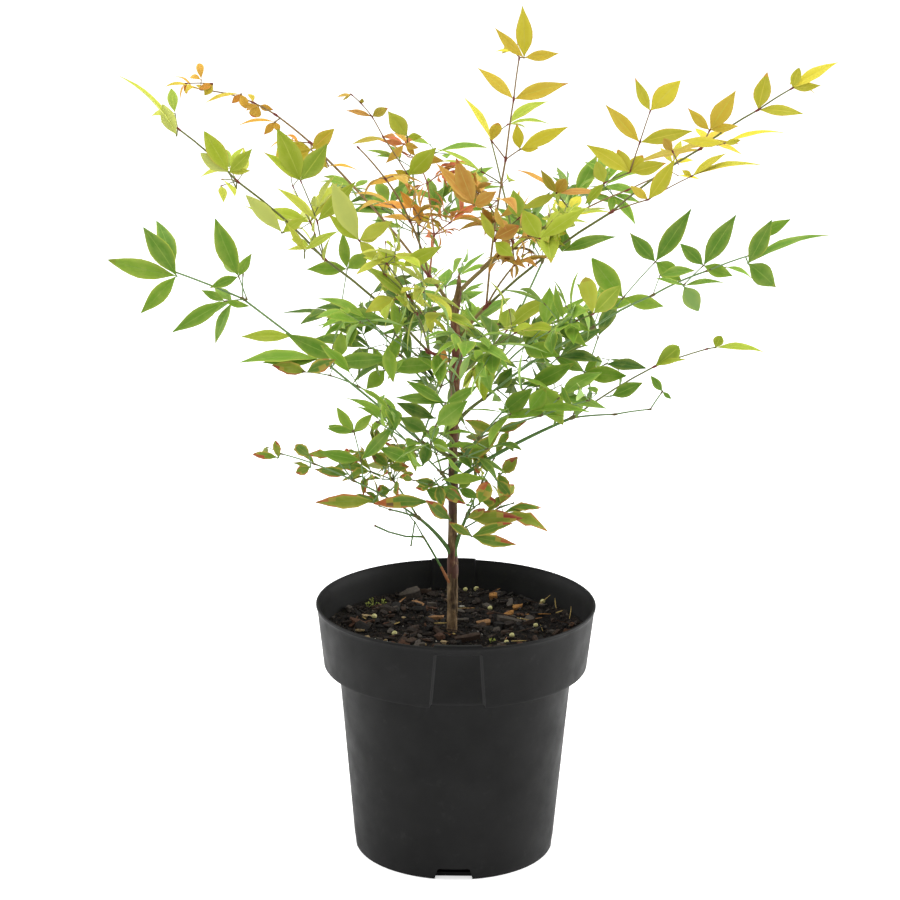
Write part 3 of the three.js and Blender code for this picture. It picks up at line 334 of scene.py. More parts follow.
    ("aged", ((7.4, -8, 236), (7, -14, 232)), ((1, 42.8, -22, 235, 11, 0.1), (1, 18, -24, 241, 6, 0.5))),
    ("aged", ((12.4, -6, 243.9), (15.6, -12, 243)), ((1, 18.7, -16, 257.4, 10, 0.7),
     (1, 25, -18, 246, 8, 0.6))),
    ("aged", ((21, -8, 262), (25.6, -10, 256.7)), ((1, 34.9, -18, 248, 8, 0.3),)),
    ("aged", ((-15, -6, 256.5), (-12.4, -12, 253.6)), ((1, 4.9, -26, 244.7, 8.5, 0.2),
     (1, -9, -24, 243, 8, 0.3), (1, -27, -18, 258, 7, 0.2))),
    ("green", ((2, -3.5, 250), (1, -12, 251.3)), ((1, 13.3, -20, 247, 7, 0.3), (1, 10, -16, 262, 7))),
    ("aged", ((-4.5, -4, 228), (-4.2, -9, 229.3)), ((1, -20.7, -22, 245.1, 9.5, 0.2),)),
    ("red", ((-5.5, -3, 327), (-7.8, -9, 328.3)), ((1, -11.1, -14, 346.7, 5, 0.3),)),
)

# Openings in the crown, seen from the front at the cane's depth: left, right, bottom, top.
OPENINGS = (
    (-144, -61, 273, 325), (-105, -25, 479, 535), (-27, 35, 472, 528), (3, 84, 457, 473),
    (-67, -42, 341, 357), (-100, -16, 199, 235), (-144, -112, 367, 425), (104, 185, 348, 375),
    (-83, -50, 451, 474), (34, 116, 235, 295), (70, 131, 418, 431), (131, 211, 430, 453),
    (-131, -49, 371, 393), (28, 54, 326, 342), (-148, -64, 245, 254), (-176, -133, 471, 502),
    (-187, -163, 368, 394), (-119, -38, 486, 542), (86, 126, 337, 356), (89, 170, 256, 316),
    (-147, -114, 468, 481), (-140, -109, 440, 463), (202, 266, 357, 415), (143, 156, 387, 400),
    (-161, -81, 505, 551), (169, 183, 395, 411), (-234, -152, 411, 455),
)
# Seeds of the dice: the first three are added to a spray's own.
FINER_SEED, DEEPER_SEED, LEAF_SEED = 2000, 4000, 1000
SPRIG_SEED, LITTER_SEED, BUD_SEED = 977, 701, 83
# First and slimmest radius of the sprigs above, and who owns the rooms of limbs and of those sprigs.
SPRIG_RADIUS, SPRIG_SLIMMEST, LIMB_OWNER, SPRIG_OWNER = 0.55, 0.42, -1, -3
# Shoots towards the front and back: their chance and leaf size, then the leaflets kept in plain sight:
# their chance, how far a blade may turn to the front and still count as side on, and the chance of those.
DEEPER, DEEPER_LEAF = 1.0, 0.62
UNVEILED, SLIVER, SIDE_ON = 0.08, 0.24, 0.75
OUTER_REACH, OUTER_HEIGHT = 105, 455    # beyond these, none is kept in plain sight
EYE = (-4.8, -1720.8, 750.6)            # the front is seen from here
# How near a leaflet may be seen to one with its own place, against that one's size, and how far behind it.
CROWD, FINE_CROWD, ANY_DEPTH = (1, 16), (1, 4), 1000
CROWDED = {"foliage_top_right": (1.8, 90), "foliage_crown_right": (1.8, 90), "foliage_right_far": (1.5, 60)}

# The bare stalk in front and its shoots: how many stretches are dry, then places with radii.
BARE_SHAPES = (
    (2, ((-4.6, -2.5, 184, 0.95), (-7.4, -3.8, 190, 1.0), (-10.2, -5, 196, 0.7), (-16, -8.5, 207.5, 0.75),
         (-21, -11.7, 217.2, 0.75), (-21.8, -12.2, 218.4, 1.05), (-23, -12.8, 218.6, 0.75),
         (-33, -17, 220, 0.62), (-44, -22, 224.5, 0.6), (-52, -25.6, 229.3, 0.65), (-53, -26, 230, 0.9))),
    (0, ((-21.6, -12.1, 218.2, 0.5), (-27, -12, 228, 0.42), (-33.5, -12, 236, 0.4))),
    (0, ((-27.3, -12, 229, 0.6), (-28.4, -12.2, 221, 0.5), (-29.6, -12.5, 213, 0.55),
         (-29.8, -12.5, 212, 0.75))),
)

# Old flower threads: places with radii, and buds with their sizes.
BUD_STEMS = (
    ((14, -8, 396, 1.1), (20, -12, 402.5, 1.0), (24.8, -14, 406.4, 1.15), (26, -14.4, 407, 0.85),
     (31, -16, 409.4, 0.9), (33, -16.4, 410.6, 1.25), (35, -17, 411, 0.8), (39.8, -18, 411.8, 0.75),
     (44.6, -19, 410.4, 0.85), (46, -19.4, 409.6, 0.5)),
    ((45, -19, 410, 0.3), (45.9, -19, 406.5, 0.28), (45.4, -19, 403.4, 0.28), (43.9, -19, 401.4, 0.3)),
    ((45.4, -19.2, 410, 0.3), (47.6, -20, 407.4, 0.28), (48.6, -20, 403.4, 0.26), (48.4, -20, 400.8, 0.25)),
    ((44.6, -19, 410.2, 0.3), (42.4, -20, 408.6, 0.28), (40, -20, 407.4, 0.25)),
    ((58.2, -11, 423, 0.5), (57.6, -14, 419.8, 0.45), (57, -14, 417.6, 0.28), (56.3, -14, 413.8, 0.28),
     (54.5, -14, 411.4, 0.26), (53.8, -14, 408.6, 0.24)),
    ((57.8, -14, 419.4, 0.3), (59, -15, 416.2, 0.28), (58.6, -15, 413.4, 0.28), (57.2, -15, 411, 0.26)),
    ((57.6, -14, 419.8, 0.3), (60.2, -15, 420.6, 0.25)), ((57.6, -14, 419.8, 0.3), (55, -15, 420.4, 0.25)),
    ((57.6, -14, 419.6, 0.3), (60.4, -15, 417.4, 0.25)),
)
BUDS = (
    (44, -19, 401, 1.5, "bud"), (48.5, -20, 404.4, 1.0, "bud"), (40.2, -20, 407.4, 1.2, "pink"),
    (42.4, -20, 408.4, 0.9, "bud"), (47.6, -20, 407.4, 0.9, "pink"), (56.2, -14, 413.4, 1.0, "bud"),
    (58.8, -15, 415.4, 1.1, "pink"), (57.4, -15, 411.4, 0.9, "bud"), (60, -15, 420.4, 1.1, "pink"),
    (55.2, -15, 420.2, 1.0, "bud"), (60.2, -15, 417.4, 0.9, "bud"), (57.8, -14.5, 419.4, 1.2, "pink"),
)

# ---- Small helpers -----------------------------------------------------------------------------

UP = np.array((0.0, 0.0, 1.0))
BACK = np.array((0.0, 1.0, 0.0))
RIGHT = np.array((1.0, 0.0, 0.0))
BLACK, WHITE = (0, 0, 0), (1, 1, 1)


def make_dice(seed):
    """Numbers from 0 to 1 that are the same in every run for the same seed."""
    state = seed * 7919

    def roll():
        nonlocal state
        state = state * 16807 % 2147483647
        return state / 2147483647
    return roll


def unit(vector):
    return vector / math.sqrt(float(vector @ vector))


def cross(a, b):
    return np.array((a[1] * b[2] - a[2] * b[1], a[2] * b[0] - a[0] * b[2], a[0] * b[1] - a[1] * b[0]))


def aim(heading, rise):
    h, r = math.radians(heading), math.radians(rise)
    return np.array((math.cos(h) * math.cos(r), math.sin(h) * math.cos(r), math.sin(r)))


def turned(vector, axis, degrees):
    """vector turned about a unit axis that it stands square to."""
    a = math.radians(degrees)
    return vector * math.cos(a) + cross(axis, vector) * math.sin(a)


def twig_frame(direction, roll):
    left = unit(cross(UP, direction))
    upper = cross(direction, left)
    return turned(left, direction, roll), turned(upper, direction, roll)


def sideways(direction, sides, side, angle, lift):
    a, l = math.radians(angle), math.radians(lift)
    return unit(direction * math.cos(a) + sides[0] * (side * math.sin(a)) + sides[1] * math.sin(l))


def cane_value(height, column):
    rows = CANE_STATIONS
    last = next((i for i in range(1, len(rows)) if height <= rows[i][0]), len(rows) - 1)
    low, high = rows[last - 1], rows[last]
    share = (height - low[0]) / (high[0] - low[0])
    return low[column] + (high[column] - low[column]) * share


def cane_at(height):
    return np.array((cane_value(height, 1), 0.0, height))


def stalk_point(foot, heading, reach, height, t):
    """A place on a stalk's middle line, which leaves the cane steeply and bends to its knob."""
    start = cane_at(foot)
    knob = start + aim(heading, 0) * reach
    knob[2] = height
    bend = start + (knob - start) * BEND_AT
    bend[2] += (height - foot) * BEND_RISE
    return start * (1 - t) ** 2 + bend * (2 * t * (1 - t)) + knob * t ** 2


def bare_rings(stalk):
    """Rings of a bare stalk: points and radii, swollen at each joint."""
    foot, heading, rise, droop, steps, radius = stalk
    point = cane_at(foot)
    rings = [(point, radius)]
    for k, length in enumerate(steps):
        way = aim(heading, rise - droop * k)
        rings.append((point + way * (length - 2.5), radius * 0.85))
        point = point + way * length
        rings.append((point, radius * 1.4))
        radius *= THINNING
    return rings


# ---- The growing rule --------------------------------------------------------------------------

WIRES = np.array(((0, 2), (2, 1), (0, 3), (3, 1), (0, 4), (4, 1)))
FACES = np.array([(e, s, f) for e in (0, 1) for s in (2, 3) for f in (4, 5)])


def pierced(bodies, others):
    """Whether a wire of any body passes through a face of the other body beside it in the list."""
    start, end = bodies[:, WIRES[:, 0]][:, :, None], bodies[:, WIRES[:, 1]][:, :, None]
    p, q, r = (others[:, FACES[:, i]][:, None] for i in range(3))
    line, one, two, off = end - start, q - p, r - p, start - p
    across = np.cross(line, two)
    scale = (one * across).sum(-1)
    flat = np.abs(scale) < 1e-9
    scale = np.where(flat, 1.0, scale)
    u = (off * across).sum(-1) / scale
    around = np.cross(off, one)
    v = (line * around).sum(-1) / scale
    t = (two * around).sum(-1) / scale
    return bool((~flat & (u >= 0) & (u <= 1) & (v >= 0) & (u + v <= 1) & (t >= 0) & (t <= 1)).any())


class Rooms:
    """Six-cornered bodies that limbs and sprays keep for themselves, each with its owner."""
    most, near = 16000, 8

    def __init__(self):
        self.bodies = np.zeros((self.most, 6, 3))
        self.owner = np.zeros(self.most, int)
        self.length = np.zeros(self.most)
        self.count = 0

    def keep(self, bodies, owner):
        for body in bodies:
            self.bodies[self.count] = body
            self.owner[self.count] = owner
            self.length[self.count] = np.linalg.norm(body[0] - body[1])
            self.count += 1

    def free(self, bodies, owner):
        n = self.count
        for body in bodies:
            reach = (np.linalg.norm(body[0] - body[1]) + self.length[:n]) / 2 + self.near
            gap = np.linalg.norm(self.bodies[:n, 4] - body[4], axis=1)
            close = self.bodies[:n][(gap < reach) & (self.owner[:n] != owner)]
            if len(close):
                same = np.broadcast_to(body, close.shape)
                if pierced(same, close) or pierced(close, same):
                    return False
        return True


def room_around(start, end, radius, aside=UP):
    count = max(1, math.ceil(np.linalg.norm(end - start) / ROOM_STRETCH))
    way = unit(end - start)
    left = unit(cross(aside, way))
    upper = cross(way, left)
    half = 2 * (radius + ROOM_MARGIN)
    bodies = []
    for i in range(2 * count - 1):
        a = start + (end - start) * (i / (2 * count))
        b = start + (end - start) * ((i + 2) / (2 * count))
        middle = a + (b - a) * 0.5
        bodies.append(np.array((a, b, middle + left * half, middle - left * half,
                                middle + upper * half, middle - upper * half)))
    return bodies


def bowed(start, end, bow):
    return start + (end - start) * 0.5 + bow * (BOW * np.linalg.norm(end - start))


def twig_room(twig):
    bodies = []
    joints = twig["joints"]
    for k in range(1, len(joints)):
        middle = bowed(joints[k - 1], joints[k], twig["bow"])
        bodies += room_around(joints[k - 1], middle, twig["radii"][k - 1])
        bodies += room_around(middle, joints[k], twig["radii"][k - 1])
    return bodies


def grow_leaflet(root, direction, facing, length, hang, dice):
    width = length * LEAF_SHAPE * (0.88 + 0.24 * dice())
    arch = LEAF_ARCH * (0.4 + 1.2 * dice())
    way = unit(direction - UP * (hang * (0.3 + 0.7 * dice())))
    upper = unit(facing - way * float(facing @ way))
    return dict(root=root, way=way, upper=upper, across=cross(upper, way), length=length,
                width=width, arch=arch)


def leaflet_point(leaf, t, s, off):
    height = leaf["arch"] * leaf["length"] * ARCH_HEIGHT * t * (1 - ARCH_FALL * t)
    folded = LEAF_FOLD * abs(s) * leaf["width"] / 2
    return (leaf["root"] + leaf["way"] * (t * leaf["length"]) + leaf["upper"] * (height + folded + off)
            + leaf["across"] * (s * leaf["width"] / 2))


def leaflet_room(leaf):
    off = leaf["length"] * LEAF_THICKNESS / 2 + LEAF_MARGIN
    s = 1 + 2 * LEAF_MARGIN / leaf["width"]
    return np.array((
        leaflet_point(leaf, 0, 0, 0), leaflet_point(leaf, 1 + LEAF_MARGIN / leaf["length"], 0, 0),
        leaflet_point(leaf, WIDEST, s, 0), leaflet_point(leaf, WIDEST, -s, 0),
        leaflet_point(leaf, WIDEST, 0, off), leaflet_point(leaf, WIDEST, 0, -off)))


def blade_facing(sides, dice):
    return unit(sides[1] + UP * UPRIGHTNESS + sides[0] * (0.7 * (dice() - 0.5)))


def grow_pair(at, direction, sides, length, hang, dice, out):
    for side in (1, -1):
        angle = LEAF_SPREAD + PAIR_SWING[0] * (dice() - 0.5)
        way = sideways(direction, sides, side, angle, PAIR_SWING[1] * (dice() - 0.4))
        size = length * (0.82 + 0.26 * dice())
        facing = blade_facing(sides, dice)
        out["leaflets"].append(grow_leaflet(at, way, facing, size, hang, dice))


def grow_tip(at, direction, sides, length, hang, dice, out):
    turn = TIP_SWING[0] * (dice() - 0.5)
    way = sideways(direction, sides, 1, turn, TIP_SWING[1] * (dice() - 0.5))
    size = length * (1.02 + 0.2 * dice())
    facing = blade_facing(sides, dice)
    out["leaflets"].append(grow_leaflet(at + direction * (STUB * 0.6), way, facing, size, hang, dice))


def grow_side_twig(root, direction, count, told, radius, length, dice):
    out = dict(joints=[root], radii=[], leaflets=[], bow=twig_frame(direction, told["roll"])[1])
    start, way, thickness = root, direction, max(radius, SLIMMEST)
    for j in range(count):
        sides = twig_frame(way, told["roll"])
        start = start + way * (told["stride"] * (0.85 + 0.3 * dice()))
        out["joints"].append(start)
        out["radii"].append(thickness)
        grow_pair(start, way, sides, length, told["hang"], dice, out)
        if j < count - 1:
            turn = TWIG_SWING[0] * (dice() - 0.5)
            way = sideways(way, sides, 1, turn, TWIG_SWING[1] * (dice() - 0.5))
        thickness = max(thickness * THINNING, SLIMMEST)
    grow_tip(start, way, twig_frame(way, told["roll"]), length, told["hang"], dice, out)
    return out


def grow_spray(told, knob):
    dice = make_dice(told["seed"])
    way = aim(told["heading"], told["rise"])
    at = knob + way * (KNOB + GAP)
    radius, length = TWIG_RADIUS, told["leaf"]
    out = dict(joints=[at], radii=[], leaflets=[], sides=[], bow=twig_frame(way, told["roll"])[1])
    for k, step in enumerate(told["steps"]):
        way = aim(told["heading"] + told["swing"] * k, told["rise"] - told["droop"] * k)
        sides = twig_frame(way, told["roll"])
        at = at + way * step
        out["joints"].append(at)
        out["radii"].append(radius)
        if told["fans"][k] > 0:
            for side in (1, -1):
                turn = SIDE_SPREAD + FAN_SWING[0] * (dice() - 0.5)
                branch = sideways(way, sides, side, turn, FAN_SWING[1] * (dice() - 0.4))
                out["sides"].append(grow_side_twig(at, branch, told["fans"][k], told,
                                                   radius * SIDE_THINNER, length, dice))
        else:
            grow_pair(at, way, sides, length, told["hang"], dice, out)
        radius = max(radius * THINNING, SLIMMEST)
        length *= told["shrink"]
    last = length if told["last"] is None else told["last"]
    grow_tip(at, way, twig_frame(way, told["roll"]), last, told["hang"], dice, out)
    return out


def grow_finer(grown, rooms, owner, sprigs):
    """Small side shoots that leave a spray's joints by the same rule, where there is still room."""
    told = grown["told"]
    dice = make_dice(told["seed"] + FINER_SEED)
    chance, size = FINER[told["tint"]]
    fine = dict(told, stride=told["stride"] * 0.5)
    shoots = []
    for twig in [*grown["sides"], grown]:
        for k in range(1, len(twig["joints"])):
            way = unit(twig["joints"][k] - twig["joints"][k - 1])
            sides = twig_frame(way, told["roll"])
            for side in (1, -1):
                if dice() > chance and not near_told(twig["joints"][k] - BACK * 4, sprigs, 1.2, ANY_DEPTH):
                    continue
                branch = sideways(way, sides, side, 60 + 30 * (dice() - 0.5), 90 * (dice() - 0.45))
                shoot = grow_side_twig(twig["joints"][k], branch, 1, fine,
                                       twig["radii"][k - 1] * SIDE_THINNER,
                                       told["leaf"] * size * (0.75 + 0.5 * dice()), dice)
                bodies = twig_room(shoot)
                if rooms.free(bodies, owner):
                    rooms.keep(bodies, owner)
                    shoots.append(shoot)
    return shoots


def veiled(leaf, sprigs, chance):
    """Whether a leaflet adds little to the front: behind one with its own place, or side on."""
    middle = leaf["root"] + leaf["way"] * (leaf["length"] * 0.6)
    left, _, high = front_place(middle)
    outer = abs(left) > OUTER_REACH or high > OUTER_HEIGHT
    if outer or near_told(middle, sprigs, 0.95, ANY_DEPTH):
        return not outer or near_told(middle, sprigs, 0.55, ANY_DEPTH)
    seen = abs(float(leaf["upper"] @ unit(np.array(EYE) - leaf["root"])))
    return chance < (UNVEILED if seen > SLIVER else SIDE_ON)


def grow_deeper(grown, rooms, owner, sprigs):
    """Small shoots that leave a spray towards the front and the back, their blades side on to the front."""
    told = grown["told"]
    dice = make_dice(told["seed"] + DEEPER_SEED)
    shoots = []
    if grown["node"] in CROWDED:
        return shoots
    for twig in [*grown["sides"], *grown["finer"], grown]:
        for k in range(1, len(twig["joints"])):
            for heading in (90, -90):
                if dice() > DEEPER:
                    continue
                deep = dict(told, stride=told["stride"] * (0.5 + 0.5 * dice()), roll=50 + 60 * dice())
                branch = aim(heading + 80 * (dice() - 0.5), 15 + 70 * (dice() - 0.5))
                shoot = grow_side_twig(twig["joints"][k], branch, 1, deep, SLIMMEST,
                                       told["leaf"] * DEEPER_LEAF * (0.75 + 0.5 * dice()), dice)
                shoot["leaflets"] = [leaf for leaf in shoot["leaflets"] if veiled(leaf, sprigs, dice())]
                bodies = twig_room(shoot)
                if shoot["leaflets"] and rooms.free(bodies, owner):
                    keep_free_leaflets(shoot, rooms, owner, sprigs, FINE_CROWD)
                    if shoot["leaflets"]:
                        rooms.keep(bodies, owner)
                        shoots.append(shoot)
    return shoots


def front_place(place):
    """Where a place is seen from the front, at the cane's depth."""
    eye = np.array(EYE)
    return eye + (place - eye) * (-eye[1] / (place[1] - eye[1]))


def near_told(place, sprigs, wide, depth):
    """Whether a place is seen close to a leaflet with its own place, no further back than depth."""
    seen = front_place(place)
    for twig in sprigs:
        for told in twig["leaflets"]:
            centre, a = told["seen"]
            a *= wide
            close = abs(seen[0] - centre[0]) < a and abs(seen[2] - centre[2]) < a
            if close and place[1] < told["root"][1] + depth:
                return True
    return False


def hides(leaf, sprigs, crowd):
    """Whether a leaflet's middle stands in an opening, or too close to a leaflet with its own place."""
    middle = leaf["root"] + leaf["way"] * (leaf["length"] * 0.55)
    seen = front_place(middle)
    if any(left < seen[0] < right and bottom < seen[2] < top for left, right, bottom, top in OPENINGS):
        return True
    return near_told(middle, sprigs, *crowd)


def trim(twig, anchors):
    """Cuts off a twig's last stretches that nothing grows from any more."""
    joints = twig["joints"]
    while len(joints) > 2:
        a, b = joints[-2], joints[-1]
        span = float((b - a) @ (b - a))
        along = [float((place - a) @ (b - a)) / span for place in anchors]
        near = [np.linalg.norm(place - a - (b - a) * min(max(u, 0.0), 1.0)) < 4 and u > 0.15
                for place, u in zip(anchors, along)]
        if any(near):
            return
        joints.pop()
        twig["radii"].pop()


def keep_free_leaflets(twig, rooms, owner, sprigs, crowd):
    kept = []
    for leaf in twig["leaflets"]:
        body = leaflet_room(leaf)
        if rooms.free([body], owner) and not hides(leaf, sprigs, crowd):
            rooms.keep([body], owner)
            kept.append(leaf)
    twig["leaflets"] = kept


def told_leaflet(root, tip, seen, blunt=0.0):
    """A leaflet between two places, turned until its blade looks as wide as told from the front."""
    root, tip = np.array(root, float), np.array(tip, float)
    length = float(np.linalg.norm(tip - root))
    way = (tip - root) / length
    to_eye = unit(np.array(EYE) - root)
    face = unit(to_eye - way * float(to_eye @ way)) * (1 if seen > 0 else -1)
    width = max(abs(seen), 0.26 * length)
    turn = math.acos(min(1.0, abs(seen) / width))
    leans = (face * math.cos(turn) + cross(face, way) * (math.sin(turn) * side) for side in (1, -1))
    upper = max(leans, key=lambda lean: lean[2])
    return dict(root=root, way=way, upper=upper, across=cross(upper, way), length=length, width=width,
                arch=0.02 + 0.05 * turn, seen=(front_place((root + tip) / 2), length * 0.3), blunt=blunt)


def grow_sprigs(rooms):
    """The sprigs with their own places. Nothing that comes later may touch their leaflets."""
    grown = []
    for tint, joints, told in SPRIGS:
        joints = [np.array(joint, float) for joint in joints]
        radii = [max(SPRIG_RADIUS * THINNING ** k, SPRIG_SLIMMEST) for k in range(len(joints))]
        leaflets = [told_leaflet(joints[joint], (x, y, z), *look) for joint, x, y, z, *look in told]
        rooms.keep([leaflet_room(leaf) for leaf in leaflets], SPRIG_OWNER)
        grown.append(dict(tint=tint, joints=joints, radii=radii, bow=UP, leaflets=leaflets))
    return grown


def grow_foliage():
    """Every spray, without the side twigs and leaflets that would touch a limb or another spray."""
    rooms = Rooms()
    height = CANE_FOOT
    while height < CANE_TIP:
        top = min(height + ROOM_STRETCH, CANE_TIP)
        rooms.keep(room_around(cane_at(height), cane_at(top), cane_value(height, 2), BACK), LIMB_OWNER)
        height += ROOM_STRETCH
    for stalk in BARE_STALKS.values():
        rings = bare_rings(stalk)
        for (a, _), (b, _) in zip(rings, rings[1:]):
            rooms.keep(room_around(a, b, stalk[5]), LIMB_OWNER)
    for foot, heading, reach, height, _ in COMPOUND_LEAVES.values():
        line = [stalk_point(foot, heading, reach, height, i / STALK_STEPS)
                for i in range(STALK_STEPS + 1)]
        for a, b in zip(line, line[1:]):
            rooms.keep(room_around(a, b, STALK_FOOT), LIMB_OWNER)
    sprays = []
    for name, (foot, heading, reach, height, told_sprays) in COMPOUND_LEAVES.items():
        knob = stalk_point(foot, heading, reach, height, 1)
        for side, told in told_sprays.items():
            grown = grow_spray(told, knob)
            grown.update(node=f"foliage_{name}_{side}", tint=told["tint"], leaf=name, told=told)
            rooms.keep(twig_room(grown), len(sprays))
            sprays.append(grown)
    for owner, grown in enumerate(sprays):
        kept = []
        for side in grown["sides"]:
            bodies = twig_room(side)
            if rooms.free(bodies, owner):
                rooms.keep(bodies, owner)
                kept.append(side)
        grown["sides"] = kept
    sprigs = grow_sprigs(rooms)
    for owner, grown in enumerate(sprays):
        for twig in [*grown["sides"], grown]:
            keep_free_leaflets(twig, rooms, owner, sprigs, CROWDED.get(grown["node"], CROWD))
        grown["sides"] = [side for side in grown["sides"] if side["leaflets"]]
    for owner, grown in enumerate(sprays):
        grown["finer"] = grow_finer(grown, rooms, owner, sprigs)
        for shoot in grown["finer"]:
            keep_free_leaflets(shoot, rooms, owner, sprigs, FINE_CROWD)
        grown["finer"] = [shoot for shoot in grown["finer"] if shoot["leaflets"]]
        grown["finer"] += grow_deeper(grown, rooms, owner, sprigs)
        anchors = [sprig["joints"][0] for sprig in sprigs]
        for twig in [*grown["sides"], *grown["finer"], grown]:
            anchors += [leaf["root"] for leaf in twig["leaflets"]]
        anchors += [shoot["joints"][0] for shoot in grown["finer"]]
        for side in grown["sides"]:
            trim(side, anchors)
        trim(grown, anchors + [side["joints"][0] for side in grown["sides"]])
    return sprays, sprigs


SPRAYS, OWN_SPRIGS = grow_foliage()

# ---- Materials ---------------------------------------------------------------------------------


def linear(code):
    """A colour told as six hex digits, as the linear numbers that shaders use."""
    parts = [(code >> shift & 255) / 255 for shift in (16, 8, 0)]
    return tuple(c / 12.92 if c <= 0.04045 else ((c + 0.055) / 1.055) ** 2.4 for c in parts)


def mixed(a, b, share):
    return tuple(x + (y - x) * share for x, y in zip(a, b))


class Finish:
    """A material on the Principled shader, whose nodes are added one by one."""

    def __init__(self, name, colour, roughness, specular=0.5):
        self.material = bpy.data.materials.new(name)
        self.material.use_nodes = True
        self.tree = self.material.node_tree
        self.shader = self.tree.nodes["Principled BSDF"]
        self.shader.inputs["Base Color"].default_value = (*colour, 1)
        self.shader.inputs["Roughness"].default_value = roughness
        self.shader.inputs["Specular IOR Level"].default_value = specular
        self.material.diffuse_color = (*colour, 1)

    def add(self, kind, out=0, settings=None, **inputs):
        node = self.tree.nodes.new("ShaderNode" + kind)
        for key, value in (settings or {}).items():
            setattr(node, key, value)
        for key, value in inputs.items():
            socket = node.inputs[int(key[1:])] if key[1:].isdigit() else node.inputs[key]
            self.feed(socket, value)
        return node.outputs[out]

    def feed(self, socket, value):
        if isinstance(value, bpy.types.NodeSocket):
            self.tree.links.new(value, socket)
        else:
            socket.default_value = value

    def place(self, scale=(1, 1, 1)):
        """Object coordinates, stretched per axis."""
        where = self.add("TexCoord", out="Object")
        return self.add("Mapping", Vector=where, Scale=scale)

    def noise(self, scale, detail=4.0, rough=0.55, stretch=(1, 1, 1), vector=None):
        vector = vector or self.place(stretch)
        return self.add("TexNoise", Vector=vector, Scale=scale, Detail=detail, Roughness=rough)

    def math(self, operation, a, b=0.0):
        return self.add("Math", settings=dict(operation=operation), _0=a, _1=b)

    def ranged(self, value, low, high, start=0.3, end=0.7):
        return self.add("MapRange", _0=value, _1=start, _2=end, _3=low, _4=high)

    def ramp(self, value, stops):
        node = self.tree.nodes.new("ShaderNodeValToRGB")
        self.feed(node.inputs[0], value)
        band = node.color_ramp
        while len(band.elements) < len(stops):
            band.elements.new(0.5)
        for element, (place, colour) in zip(band.elements, stops):
            element.position = place
            element.color = (*colour, 1)
        return node.outputs[0]

    def mix(self, share, a, b):
        node = self.tree.nodes.new("ShaderNodeMix")
        node.data_type = "RGBA"
        self.feed(node.inputs[0], share)
        for socket, value in ((node.inputs[6], a), (node.inputs[7], b)):
            self.feed(socket, (*value, 1) if isinstance(value, tuple) else value)
        return node.outputs[2]

    def bump(self, height, distance, strength=1.0):
        last = self.shader.inputs["Normal"]
        inputs = dict(Height=height, Distance=distance, Strength=strength)
        if last.links:
            inputs["Normal"] = last.links[0].from_socket
        self.feed(last, self.add("Bump", **inputs))

    def rough(self, value):
        self.feed(self.shader.inputs["Roughness"], value)

    def colour(self, value):
        self.feed(self.shader.inputs["Base Color"], value)


def moulded_plastic(name, colour, shine):
    """Dull charcoal plastic with a fine grain, soft clouding and a few rubbed, dusty places."""
    made = Finish(name, colour, 0.45, shine)
    cloud = made.noise(26, 5)
    tone = made.mix(made.ranged(cloud, 0, 1), mixed(colour, BLACK, 0.12), mixed(colour, WHITE, 0.004))
    dust = made.ranged(made.noise(90, 6, 0.7), 0, 0.07, 0.6, 0.82)
    made.colour(made.mix(dust, tone, linear(0x6d6c6a)))
    made.rough(made.ranged(made.noise(60, 5), 0.4, 0.56))
    made.bump(made.noise(2600, 2), 0.00006, 0.35)
    made.bump(made.noise(55, 3, stretch=(1, 1, 0.35)), 0.0005, 0.25)
    return made.material


def potting_mix(colour):
    """Dark, damp, crumbly soil."""
    made = Finish("potting_mix", colour, 0.95, 0.2)
    fine = made.noise(420, 6, 0.7)
    made.colour(made.ramp(fine, ((0.3, mixed(colour, BLACK, 0.6)), (0.55, colour),
                                 (0.78, linear(0x4a3526)))))
    made.bump(fine, 0.0016, 0.9)
    made.bump(made.noise(1500, 3), 0.0006, 0.6)
    return made.material


def chip_finish(name, colour):
    """Split bark or wood: grain along its faces over one plain colour."""
    made = Finish(name, colour, 0.85, 0.25)
    grain = made.noise(700, 5, 0.65, stretch=(1, 0.35, 1.6))
    made.colour(made.mix(made.ranged(grain, 0.0, 0.75), colour, mixed(colour, BLACK, 0.55)))
    made.bump(grain, 0.0009, 0.8)
    return made.material


PIT_SHADE_HEIGHT, PIT_SHADE_FACE = 167.5, (1.2, -5.0, 0.0)        # place of a spot of painted shade in the pit of an old bud scar on the cane's front
